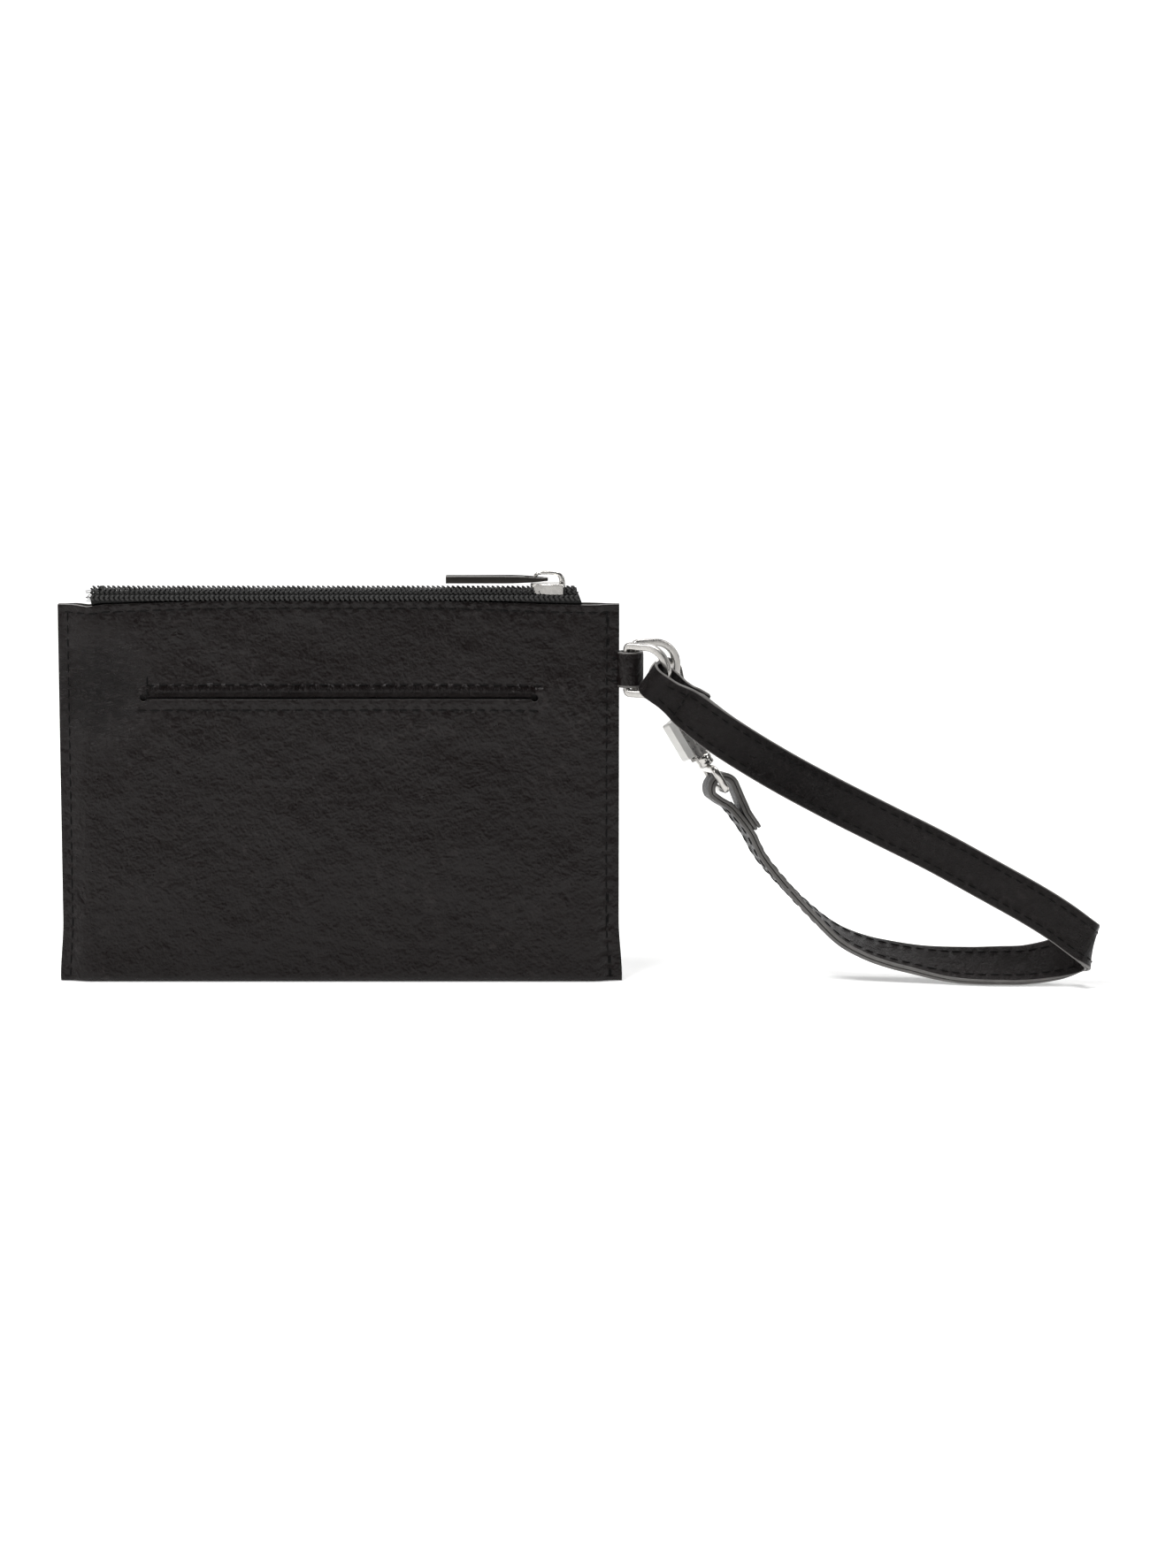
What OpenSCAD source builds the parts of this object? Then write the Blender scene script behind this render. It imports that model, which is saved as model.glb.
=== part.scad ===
// Wristlet wallet: a leather zip pouch with a clip-on wrist strap.
// Millimetres, +Z up, +X to the strap side, -Y to the slip pocket side.
// The origin is the middle of the pouch's bottom fold.

/* [Pouch] */
// Width across the side seams
pouch_w = 147; // [125:1:180]
// Height from the bottom fold to the leather's top edge
pouch_h = 100.5; // [96:0.5:130]
// Thickness over the middle of the pouch
pouch_t = 6.4; // [6.2:0.1:9]
// Thickness of one leather panel
leather_t = 1.3; // [1.1:0.1:1.5]
// Width of the strip along each side where the panels pinch together
seam_taper = 8; // [6:0.5:12]
// Radius of the bottom fold's corners
fold_r = 1.8; // [1.5:0.1:2.4]

/* [Slip pocket] */
// Length of the slit between its punched end holes
slit_l = 102.6; // [60:0.2:110]
// Height of the slit above the floor
slit_z = 76; // [60:0.5:85]
// Width of the open slit
slit_gap = 0.7; // [0.4:0.1:1.2]
// Radius of the punched end holes
slit_hole_r = 1; // [0.6:0.1:1.5]
// Depth of the pocket bag below the slit
pocket_depth = 52; // [30:1:60]

/* [Zip] */
// Distance from the left side seam to the end of the tape
zip_inset_l = 9; // [8.5:0.5:20]
// Distance from the right side seam to the end of the tape
zip_inset_r = 10.4; // [8.5:0.2:20]
// Thickness of the woven tape
tape_t = 0.5; // [0.3:0.1:0.6]
// Height of the coil's underside above the leather's top edge
coil_lift = 2.7; // [2.5:0.1:4]
// Height of the coil
coil_h = 1.6; // [1.2:0.1:2]
// Distance between two turns of one coil half
coil_pitch = 1.2; // [1:0.1:1.6]
// Length of the slider
slider_l = 9.4; // [8:0.2:12]
// Distance from the tape's right end to the slider's middle, zip shut
slider_inset = 8.2; // [7.5:0.1:12]
// Length of the pull's bar beyond its eye
pull_l = 20.4; // [12:0.2:30]
// Width of the pull
pull_w = 4.8; // [4.4:0.1:6]
// Thickness of the pull
pull_t = 1.8; // [1.2:0.1:2]

/* [Side tab and D-rings] */
// Height of the tab's middle above the floor
tab_z = 83.3; // [60:0.1:85]
// Width of the tab's leather
tab_w = 9.4; // [8:0.1:9.6]
// Thickness of the tab's leather
tab_t = 1.1; // [0.8:0.1:1.2]
// Inner radius of the tab's loop
tab_r = 2.5; // [2.5:0.05:3]
// Outer height of a D-ring
ring_h = 14.5; // [14:0.1:16]
// Outer width of a D-ring, from its bar to the top of its bow
ring_w = 14.2; // [13:0.1:16]
// Width of the D-ring's section seen from the front
ring_face = 2; // [1.8:0.1:2.1]
// Depth of the D-ring's section
ring_d = 1.8; // [1.6:0.1:1.9]
// Angle that the strap's D-ring stands forward at rest
ring_front_yaw = 30; // [26:1:34]
// Angle that the hook's D-ring stands back at rest
ring_back_yaw = 22; // [20:1:24]

/* [Strap] */
// Width of the strap
strap_w = 11.2; // [10:0.2:13]
// Width of the strap's ends where they fold round the rings
neck_w = 8.6; // [7:0.2:9]
// Thickness of one of the strap's two leathers
ply_t = 1.05; // [0.9:0.05:1.2]
// Inner radius of the folded end round the D-ring
fold_a_r = 2.6; // [2.4:0.05:3]
// Inner radius of the folded end round the swivel eye
fold_b_r = 2.25; // [2:0.05:2.6]
// Length of each folded-back end
flap_l = 13.5; // [11:0.5:15]

/* [Snap hook] */
// Angle of the hook away from the vertical
hook_lean = 30.5; // [28:0.5:33]
// Angle that the hook is turned about its own length
hook_roll = 48; // [46:1:52]
// Thickness of the hook's frame
hook_t = 1.8; // [1.6:0.1:2]
// Radius of the sliding bolt
bolt_r = 0.75; // [0.6:0.05:0.9]
// Distance from the collar to the bar of the swivel eye
eye_reach = 9.8; // [9.4:0.1:11]
// Inner width of the swivel eye
eye_w = 12.8; // [12.6:0.1:15]
// Thickness of the swivel eye's wire
eye_d = 1.9; // [1.6:0.1:2]

/* [Stitching] */
// Distance between two stitches
stitch_pitch = 3.35; // [3:0.05:4.5]
// Length of one stitch
stitch_l = 2.4; // [1.8:0.1:2.8]
// Thickness of the thread
thread_t = 0.4; // [0.3:0.05:0.6]

/* [Hidden] */
$fn = 48;

leather_black = "#2a2725";
thread_black = "#181717";
nickel = "#c4c2bd";

// Clearances: between soft layers, and between pieces that move
layer_gap = 0.1;
move_gap = 0.2;
seam_gap = 0.1;
// How far a stitch is pulled into the leather
stitch_sink = 0.1;

half_w = pouch_w / 2;
half_t = pouch_t / 2;
seam_half_t = leather_t + seam_gap / 2;
cavity_half_t = half_t - leather_t;
taper_steps = 8;
soft_half_w = half_w - seam_taper - 0.5;
lining_t = 0.3;
lining_half_t = cavity_half_t - tape_t - 2 * layer_gap;

// Half the pouch's thickness at a distance x from its middle
function ease(t) = (1 - cos(180 * max(0, min(1, t)))) / 2;
function half_t_at(x) =
  seam_half_t + (half_t - seam_half_t) * ease((half_w - abs(x)) / seam_taper);
taper_x = [for (i = [0 : taper_steps]) half_w - seam_taper * (1 - i / taper_steps)];
side_x = concat([for (i = [taper_steps : -1 : 0]) -taper_x[i]], taper_x);

tape_x0 = -half_w + zip_inset_l;
tape_x1 = half_w - zip_inset_r;
coil_z0 = pouch_h + coil_lift;
coil_z1 = coil_z0 + coil_h;
coil_in = 0.6;
coil_out = 2.6;
slider_x = tape_x1 - slider_inset;
slider_half_w = 3.5;
slider_wall = 0.5;
wing_t = 1;
wing_z0 = coil_z1 + move_gap;
wing_z1 = wing_z0 + wing_t;
pull_z = wing_z1 + pull_t / 2 + 0.1;
pull_x = slider_x - 0.6;
pull_eye = 5.8;
bridge_w = 1.6;

tab_x = half_w + tab_r + 0.35;
bar_off = 0.95;
ring_bar_r = ring_d / 2;
ring_band = (ring_face) / 2;
bow_r = ring_h / 2 - ring_band;
bow_x = ring_w - ring_band - ring_h / 2;
ring_front = [tab_x - bar_off, -bar_off, tab_z];
ring_back = [tab_x + bar_off, bar_off, tab_z + 0.4];

// A 2D shape drawn in Y and Z, pushed along X from x0 to x1
module along_x(x0, x1) {
  translate([x0, 0, 0]) rotate([90, 0, 90]) linear_extrude(x1 - x0) children();
}

// A 2D shape drawn in X and Z, given a thickness about y = 0
module across_y(t) {
  rotate([90, 0, 0]) translate([0, 0, -t / 2]) linear_extrude(t) children();
}

module rounded_rect(x0, x1, y0, y1, r) {
  translate([x0 + r, y0]) square([x1 - x0 - 2 * r, y1 - y0]);
  translate([x0, y0 + r]) square([x1 - x0, y1 - y0 - 2 * r]);
  for (x = [x0 + r, x1 - r], y = [y0 + r, y1 - r]) translate([x, y]) circle(r);
}

// ---- Pouch ----

// Plan outline of the pouch, moved in by an inset
module plan_outline(inset, extra) {
  front = [for (x = side_x) [x + sign(x) * extra, -max(seam_gap / 2, half_t_at(x) - inset)]];
  back = [for (i = [len(side_x) - 1 : -1 : 0]) [front[i][0], -front[i][1]]];
  polygon(concat(front, back));
}

// End profile of the pouch with the bottom fold's rounded corners
module fold_profile(half, z0, z1, r) {
  translate([-half, z0 + r]) square([2 * half, z1 - z0 - r]);
  translate([-half + r, z0]) square([2 * (half - r), r + 0.1]);
  for (y = [-half + r, half - r]) translate([y, z0 + r]) circle(r);
}

module slit_cutter() {
  translate([-slit_l / 2, -pouch_t, slit_z - slit_gap / 2]) cube([slit_l, pouch_t, slit_gap]);
  for (x = [-slit_l / 2, slit_l / 2])
    translate([x, -pouch_t, slit_z]) rotate([-90, 0, 0]) cylinder(r = slit_hole_r, h = pouch_t);
}

module pouch_leather() {
  neck_gap = tab_t + 0.05;
  color(leather_black) difference() {
    intersection() {
      linear_extrude(pouch_h) plan_outline(0, 0);
      along_x(-half_w, half_w) fold_profile(half_t, 0, pouch_h, fold_r);
    }
    intersection() {
      translate([0, 0, leather_t]) linear_extrude(pouch_h) plan_outline(leather_t, 1);
      along_x(-half_w - 1, half_w + 1)
        fold_profile(cavity_half_t, leather_t, pouch_h + 1, fold_r - leather_t / 2);
    }
    slit_cutter();
    translate([half_w - 5, -neck_gap, tab_z - tab_w / 2 - 0.05])
      cube([6, 2 * neck_gap, tab_w + 0.1]);
  }
}

module lining_bag() {
  top = pouch_h - 1;
  low = leather_t + 0.2;
  color("#3a3634") difference() {
    along_x(-soft_half_w, soft_half_w) fold_profile(lining_half_t, low, top, 0.8);
    along_x(-soft_half_w + lining_t, soft_half_w - lining_t)
      fold_profile(lining_half_t - lining_t, low + lining_t, top + 1, 0.5);
  }
}

module slip_pocket_bag() {
  ply = 0.2;
  y0 = -cavity_half_t + 0.05;
  back_y = y0 + 2 * ply + 0.05;
  low = slit_z - pocket_depth;
  color("#3a3634") along_x(-slit_l / 2 - 3, slit_l / 2 + 3) {
    translate([y0, low]) square([ply, pocket_depth - slit_hole_r - 0.2]);
    translate([back_y - ply, low]) square([ply, pocket_depth + 4]);
    translate([y0, low]) square([back_y - y0, ply]);
  }
}

// ---- Zip ----

// Half of the tape: down between leather and lining, out round the slider's lower wing,
// and in under the coil
module tape_profile() {
  y_in = cavity_half_t - 0.05;
  y_out = slider_half_w + 0.25;
  lip = coil_z0 - 0.1;
  polygon([
    [-y_in, pouch_h - 12], [-y_in, pouch_h + 0.1], [-y_out, pouch_h + 1.2], [-y_out, lip],
    [-coil_in, lip], [-coil_in, lip - tape_t], [-y_out + tape_t, lip - tape_t],
    [-y_out + tape_t, pouch_h + 1.45], [-y_in + tape_t, pouch_h + 0.15],
    [-y_in + tape_t, pouch_h - 12]
  ]);
}

module zip_tape_front() {
  color(thread_black) along_x(tape_x0, tape_x1) tape_profile();
}

module zip_tape_back() {
  mirror([0, 1, 0]) zip_tape_front();
}

// One coil half: its turns as blocks on a cord along their outer ends
module coil_half(shift) {
  turn_w = 0.55;
  cord = 0.6;
  x0 = tape_x0 + 0.8;
  turns = floor((tape_x1 - tape_x0 - 2.2) / coil_pitch);
  color(thread_black) {
    translate([x0, -coil_out, coil_z0]) cube([turns * coil_pitch, cord, coil_h / 2]);
    for (i = [0 : turns - 1])
      translate([x0 + shift + i * coil_pitch, -coil_out, coil_z0])
        cube([turn_w, coil_out - coil_in, coil_h]);
  }
}

module zip_coil_front() {
  coil_half(0.02);
}

module zip_coil_back() {
  mirror([0, 1, 0]) coil_half(coil_pitch / 2);
}

// Thread bars over the coil that stop the slider
module zip_end_tacks() {
  color(thread_black) for (x = [tape_x0 + 1.5, tape_x1 - 2.2])
    translate([x, -coil_out, coil_z1 + 0.02]) cube([1, 2 * coil_out, 0.4]);
}

module slider_plan(half) {
  rounded_rect(-slider_l / 2, slider_l / 2, -half, half, 1.6);
}

module zip_slider() {
  low_z1 = coil_z0 - 0.1 - tape_t - 0.1;
  low_half = slider_half_w - tape_t - 0.1;
  post_x = slider_l / 2 - 1.9;
  arch_x0 = pull_x - 3.4 - slider_x;
  arch_x1 = slider_l / 2 - 0.5;
  arch_h = 3.2;
  color(nickel) translate([slider_x, 0, 0]) {
    difference() {
      translate([0, 0, coil_z0]) linear_extrude(wing_z1 - coil_z0) slider_plan(slider_half_w);
      translate([-slider_l, -slider_half_w + slider_wall, coil_z0 - 1])
        cube([2 * slider_l, 2 * (slider_half_w - slider_wall), wing_z0 - coil_z0 + 1]);
    }
    translate([0, 0, low_z1 - 0.6]) linear_extrude(0.6) slider_plan(low_half);
    translate([post_x, -0.4, low_z1 - 0.3]) cube([1.6, 0.8, wing_z0 - low_z1 + 0.6]);
    across_y(bridge_w) difference() {
      rounded_rect(arch_x0, arch_x1, wing_z1 - 1, wing_z1 + arch_h, 0.95);
      rounded_rect(arch_x0 + 1.1, arch_x1 - 1.1, wing_z1 - 0.5, wing_z1 + arch_h - 1.1, 0.7);
      translate([arch_x0 - 1, wing_z1 - 2]) square([3, 2.3]);
      translate([arch_x0 - 1, wing_z1 - 2]) square([slider_l + 3, 1.9]);
    }
  }
}

// Pull bar, eye and cross piece, lying flat towards the left
module zip_pull() {
  arm_in = bridge_w / 2 + 0.35;
  taper = 6;
  color("#8d8b88") translate([pull_x, 0, pull_z]) {
    rotate([90, 0, 0]) cylinder(d = 1.5, h = pull_w - 0.4, center = true);
    translate([0, 0, -pull_t / 2]) linear_extrude(pull_t) difference() {
      polygon([
        [0.2, -pull_w / 2 + 0.2], [-pull_eye, -pull_w / 2], [-pull_eye - pull_l, -pull_w / 2],
        [-pull_eye - pull_l, pull_w / 2], [-pull_eye, pull_w / 2], [0.2, pull_w / 2 - 0.2]
      ]);
      translate([-pull_eye, -arm_in]) square([pull_eye + 1, 2 * arm_in]);
    }
  }
}

// ---- Stitching ----

// A row of stitches along X on a face that looks to -Y
module stitch_row(x0, x1, y, z) {
  count = floor((x1 - x0) / stitch_pitch);
  start = (x0 + x1 - count * stitch_pitch) / 2 + (stitch_pitch - stitch_l) / 2;
  for (i = [0 : count - 1])
    translate([start + i * stitch_pitch, y - thread_t + stitch_sink, z - thread_t / 2])
      cube([stitch_l, thread_t, thread_t]);
}

// A row of stitches up the side seam at a distance from the edge
module stitch_column(x, side) {
  y = half_t_at(abs(x)) - stitch_sink;
  count = floor((pouch_h - 5) / stitch_pitch);
  for (i = [0 : count - 1])
    translate([
      x - thread_t / 2, side > 0 ? y : -y - thread_t,
      2.5 + i * stitch_pitch + (stitch_pitch - stitch_l) / 2
    ])
      cube([thread_t, thread_t, stitch_l]);
}

module top_stitching() {
  z = pouch_h - 2;
  reach = half_w - seam_taper;
  color(thread_black) {
    stitch_row(-reach, reach, -half_t, z);
    mirror([0, 1, 0]) stitch_row(-reach, reach, -half_t, z);
  }
}

module side_stitching() {
  color(thread_black) for (side = [-1, 1]) {
    stitch_column(-half_w + 2.6, side);
    stitch_column(half_w - 3.3, side);
  }
}

module slip_pocket_stitching() {
  color(thread_black) {
    stitch_row(-slit_l / 2, slit_l / 2, -half_t, slit_z + 3.1);
    stitch_row(-slit_l / 2, slit_l / 2, -half_t, slit_z - 3.4);
    translate([-slit_l / 2 + 1.6, -half_t - thread_t + stitch_sink, slit_z + 1.6])
      cube([thread_t, thread_t, 1.2]);
  }
}

// ---- Side tab and D-rings ----

module side_tab() {
  neck_l = 4.8;
  color(leather_black) translate([0, 0, tab_z - tab_w / 2]) linear_extrude(tab_w) {
    difference() {
      translate([tab_x, 0]) circle(tab_r + tab_t);
      translate([tab_x, 0]) circle(tab_r);
      translate([tab_x - tab_r - tab_t - 1, -seam_gap / 2]) square([tab_r + 1, seam_gap]);
      translate([half_w - 3, -5]) square([3, 10]);
    }
    for (side = [-1, 1])
      translate([half_w - neck_l, side > 0 ? seam_gap / 2 : -tab_t])
        square([neck_l + tab_t / 2, tab_t - seam_gap / 2]);
  }
}

// Thread box that closes the tab's loop through the seam
module tab_stitching() {
  x = half_w - 1.2;
  y = half_t_at(x) - stitch_sink;
  color(thread_black) for (side = [-1, 1], z = [-3, 0, 3])
    translate([x - 0.9, side > 0 ? y : -y - thread_t, tab_z + z - thread_t / 2])
      cube([1.8, thread_t, thread_t]);
}

// D-ring in its own plane: round bar on the Z axis, flat bow towards +X
module d_ring() {
  inner_h = ring_h - 2 * ring_face;
  outline_r = ring_h / 2;
  color(nickel) {
    cylinder(r = ring_bar_r, h = ring_h - ring_face, center = true);
    across_y(ring_d) difference() {
      union() {
        translate([-ring_band, -outline_r]) square([bow_x + ring_band, ring_h]);
        translate([bow_x, 0]) circle(outline_r);
      }
      translate([-ring_w, -inner_h / 2]) square([ring_w + bow_x, inner_h]);
      translate([bow_x, 0]) circle(inner_h / 2);
    }
  }
}

module strap_d_ring() {
  translate(ring_front) rotate([0, 0, -ring_front_yaw]) d_ring();
}

module hook_d_ring() {
  translate(ring_back) rotate([0, 0, ring_back_yaw]) d_ring();
}

// ---- Snap hook ----

// The collar's middle, from which the hook runs up to its nose along its own +Z
hook_base = ring_back + [18.2, 1.2, -24];

module at_hook() {
  translate(hook_base) rotate([0, -hook_lean, 0]) rotate([0, 0, hook_roll]) children();
}

// The swivel eye turns about the hook's length only, so it keeps its own turn
eye_turn = 11;
module at_eye() {
  translate(hook_base) rotate([0, -hook_lean, 0]) rotate([0, 0, eye_turn]) children();
}

// Outline of a band of changing width about a line of points
function side_dir(p, i) =
  let (a = p[max(0, i - 1)], b = p[min(len(p) - 1, i + 1)], d = b - a) [-d[1], d[0]] / norm(d);
function band(p, h) = concat(
  [for (i = [0 : len(p) - 1]) p[i] + side_dir(p, i) * h[i]],
  [for (i = [len(p) - 1 : -1 : 0]) p[i] - side_dir(p, i) * h[i]]
);

bolt_x = -2;
collar_r = 2.2;
stem_r = 0.8;
throat_z = 22.6;
nose_a = 5.45;
nose_b = 4.4;
nose_x = bolt_x + nose_a;
housing_z = 12.8;
spine = concat(
  [[1.1, 0.4], [1.9, 5], [3.4, 10.5], [5.8, 16.5], [8, 20.8]],
  [for (a = [0 : 15 : 165]) [nose_x + nose_a * cos(a), throat_z + nose_b * sin(a)]]
);
spine_half = concat([1.2, 1.2, 1.15, 1.1, 1.05], [for (a = [0 : 15 : 165]) 1]);

module hook_frame() {
  color(nickel) at_hook() difference() {
    union() {
      across_y(hook_t) polygon(band(spine, spine_half));
      translate([0, 0, -2.6]) cylinder(r = collar_r, h = 3);
      translate([bolt_x - 1.2, -1.3, 0]) cube([4.2, 2.6, housing_z]);
    }
    translate([0, 0, -3]) cylinder(r = stem_r + 0.05, h = 3);
    translate([0, 0, -1.1]) cylinder(r = 1.25, h = 1.1 + 0.2);
    translate([bolt_x, 0, 1]) cylinder(r = bolt_r + 0.06, h = housing_z);
    translate([bolt_x - 2, -0.5, 1]) cube([2, 1, housing_z]);
  }
}

// Sliding bolt with its thumb piece outside the housing's slot
module hook_bolt() {
  bolt_z0 = 8.7;
  bolt_z1 = throat_z - 0.1;
  thumb_z0 = 1.6;
  thumb_l = 11.2;
  color(nickel) at_hook() {
    translate([bolt_x, 0, bolt_z0]) cylinder(r = bolt_r, h = bolt_z1 - bolt_z0);
    translate([bolt_x - 1.5, -0.4, bolt_z0]) cube([1.3, 0.8, 2.6]);
    translate([bolt_x - 4.1, -1.3, thumb_z0]) cube([2.75, 2.6, thumb_l]);
  }
}

// The spring at the length it is pressed to, below the bolt
module bolt_spring() {
  color("#b5b2ab") at_hook() translate([bolt_x, 0, 1.05]) difference() {
    cylinder(r = bolt_r, h = 1.9);
    translate([0, 0, -1]) cylinder(r = bolt_r - 0.25, h = 4);
  }
}

module swivel_eye() {
  half = eye_w / 2 + eye_d / 2;
  top = -3.75;
  color(nickel) at_eye() {
    for (side = [-1, 1])
      translate([0, side * half, -eye_reach]) cylinder(d = eye_d, h = top + eye_reach);
    for (z = [-eye_reach, top])
      translate([0, 0, z]) rotate([90, 0, 0]) cylinder(d = eye_d, h = 2 * half, center = true);
    for (side = [-1, 1], z = [-eye_reach, top])
      translate([0, side * half, z]) sphere(d = eye_d);
    translate([0, 0, top]) cylinder(r = stem_r, h = -top - 0.4);
    translate([0, 0, -0.95]) cylinder(r = 1.1, h = 0.9);
  }
}

// ---- Strap ----

// Both plies share one middle surface: the face ply lies outside it, the backing inside.
// A station on it is a position and the direction of the strap's width.

function unit(v) = v / norm(v);

// Folded end at the D-ring: the face ply alone goes round the bow, square to it
bow_lean = 36;
bow_sit = 1.6;
bow_c = ring_front + bow_x * [cos(ring_front_yaw), -sin(ring_front_yaw), 0];
function in_ring(a) =
  [cos(a) * cos(ring_front_yaw), -cos(a) * sin(ring_front_yaw), sin(a)];
wide_a = in_ring(90 - bow_lean);
leave_a = [0.77, -0.09, -0.64];
dir_a = unit(leave_a - (leave_a * wide_a) * wide_a);
out_a = cross(dir_a, wide_a);
fold_a = bow_c + bow_r * in_ring(-bow_lean) - bow_sit * dir_a;
function at_a(s, off) = [fold_a + s * dir_a + off * out_a, wide_a];

// Folded end at the swivel eye: both plies go round the eye's bar
limb_lean = 29;
fold_b = hook_base + eye_reach * [sin(hook_lean), 0, -cos(hook_lean)];
wide_b = [-sin(eye_turn) * cos(hook_lean), cos(eye_turn), -sin(eye_turn) * sin(hook_lean)];
dir_b = [sin(limb_lean), 0, -cos(limb_lean)];
out_b = unit(cross(-dir_b, wide_b));
turn_b = fold_b_r + ply_t;
function at_b(s, off) = [fold_b + s * dir_b + off * out_b, wide_b];

// The far bend: the strap winds round a leaning axis and drops as it goes
bend_r = 4;
bend_drop = 27;
bend_axis = unit([0.19, 0, 0.98]);
bend_out = [bend_axis[2], 0, -bend_axis[0]];
bend_c = [120.3, -9.3, 14.6];
function bend_turn(a) = sin(a) * bend_out - cos(a) * [0, 1, 0];
bend = [for (a = [15 : 30 : 165])
  [bend_c + bend_r * bend_turn(a) - bend_r * tan(bend_drop) * a * PI / 180 * bend_axis,
    sin(bend_drop) * bend_turn(a + 90) + cos(bend_drop) * bend_axis]];

// The strap between its ends, with x counted from the pouch's side seam
run = concat([
  [[26.8, -10.6, 67.4], [0.54, -0.06, 0.84]],
  [[40.8, -11.2, 58.7], [0.51, 0, 0.86]],
  [[54.8, -11.8, 51.1], [0.48, 0, 0.88]],
  [[68.8, -12.3, 44], [0.46, 0, 0.89]],
  [[82.8, -12.8, 37], [0.47, 0, 0.88]],
  [[96.8, -13.2, 29.3], [0.5, 0, 0.87]],
  [[107.5, -13.4, 23.3], [0.5, 0, 0.87]],
  [[115, -13.5, 18.6], [0.5, 0, 0.87]]
], bend, [
  [[114.9, -5, 6.6], [-0.15, 0.52, 0.84]],
  [[107.5, -4.9, 5.2], [0, 0.66, 0.75]],
  [[100.5, -4.9, 5], [0, 0.69, 0.72]],
  [[93.3, -4, 4.8], [0, 0.75, 0.66]],
  [[86.3, -2, 4.9], [0, 0.83, 0.56]],
  [[79.3, -0.4, 5.6], [0, 0.9, 0.43]],
  [[72.3, 0.6, 6.8], [0, 0.93, 0.37]],
  [[65.3, 1.3, 8.7], [0, 0.96, 0.28]],
  [[58.3, 1.9, 12], [0, 0.985, 0.17]],
  [[51.3, 2.2, 17.8], [-0.02, 1, 0]],
  [[44.3, 2.3, 24.9], [-0.06, 1, -0.08]],
  [[37.7, 2.3, 32.8], [-0.12, 0.985, -0.1]]
]);
knots = concat(
  [at_a(0, fold_a_r), at_a(5, fold_a_r), at_a(10, fold_a_r)],
  [for (r = run) [r[0] + [half_w, 0, 0], r[1]]],
  [at_b(14, -0.5), at_b(9, 0), at_b(5, 0.8), at_b(2.4, 2.2), at_b(0, turn_b)]
);
function knot(i, k) = knots[max(0, min(len(knots) - 1, i))][k];
function catmull(a, b, c, d, t) =
  ((2 * b) + (c - a) * t + (2 * a - 5 * b + 4 * c - d) * t * t
    + (3 * b - a - 3 * c + d) * t * t * t) / 2;
steps = 2;
main_line = concat(
  [for (i = [0 : len(knots) - 2], s = [0 : steps - 1])
    [for (k = [0, 1])
      catmull(knot(i - 1, k), knot(i, k), knot(i + 1, k), knot(i + 2, k), s / steps)]],
  [at_b(0, turn_b)]
);

turn_step = 30;
arc_a = [for (a = [180 : -turn_step : turn_step]) at_a(-fold_a_r * sin(a), fold_a_r * cos(a))];
arc_b = [for (a = [turn_step : turn_step : 180]) at_b(-turn_b * sin(a), turn_b * cos(a))];
flap_gap = 0.15;
flap_a = [
  at_a(flap_l, fold_a_r - ply_t - flap_gap - 0.9), at_a(9, fold_a_r - ply_t - flap_gap - 0.3),
  at_a(6.4, -0.2), at_a(3.4, -fold_a_r + 0.7)
];
flap_b = [
  at_b(3, -turn_b + 0.3), at_b(6.5, -2 * ply_t - 0.5), at_b(9, -2 * ply_t - flap_gap - 0.1),
  at_b(flap_l, -2 * ply_t - flap_gap - 0.5)
];

face_line = concat(flap_a, arc_a, main_line, arc_b, flap_b);
backing_skip = 4;
backing_line = concat(
  [for (i = [backing_skip : len(main_line) - 1]) main_line[i]], arc_b, flap_b);

// The strap is necked where it folds round the rings
function half_at(p) = neck_w / 2
  + (strap_w - neck_w) / 2 * ease((min(norm(p - fold_a), norm(p - fold_b)) - 4) / 7);

function tangent(p, i) = unit(p[min(len(p) - 1, i + 1)][0] - p[max(0, i - 1)][0]);
function across(p, i) = let (t = tangent(p, i)) unit(p[i][1] - (p[i][1] * t) * t);

// Corner points of one ply between two distances outside the middle surface
function ply_ring(p, i, n0, n1, trim) =
  let (w = across(p, i), n = cross(tangent(p, i), w), c = p[i][0], h = half_at(c) - trim)
  [c - w * h + n * n0, c + w * h + n * n0, c + w * h + n * n1, c - w * h + n * n1];

module ply_solid(p, n0, n1, trim) {
  points = [for (i = [0 : len(p) - 1]) for (q = ply_ring(p, i, n0, n1, trim)) q];
  last = 4 * (len(p) - 1);
  walls = [for (i = [0 : len(p) - 2], k = [0 : 3], part = [0, 1])
    let (a = 4 * i + k, b = 4 * i + (k + 1) % 4)
      k < 2 ? (part == 0 ? [a, b + 4, b] : [a, a + 4, b + 4])
        : (part == 0 ? [a, a + 4, b] : [a + 4, b + 4, b])];
  caps = [[0, 1, 2], [0, 2, 3], [last, last + 2, last + 1], [last, last + 3, last + 2]];
  polyhedron(points, concat(walls, caps), convexity = 8);
}

module strap_face() {
  color(leather_black) ply_solid(face_line, 0.02, ply_t, 0);
}

module strap_backing() {
  color("#35312f") ply_solid(backing_line, -ply_t, -0.02, 0.1);
}

// Distance along the middle surface to each of its points
run_length = [for (i = 0, s = 0; i < len(main_line);
  s = s + norm(main_line[min(len(main_line) - 1, i + 1)][0] - main_line[i][0]), i = i + 1) s];

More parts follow.
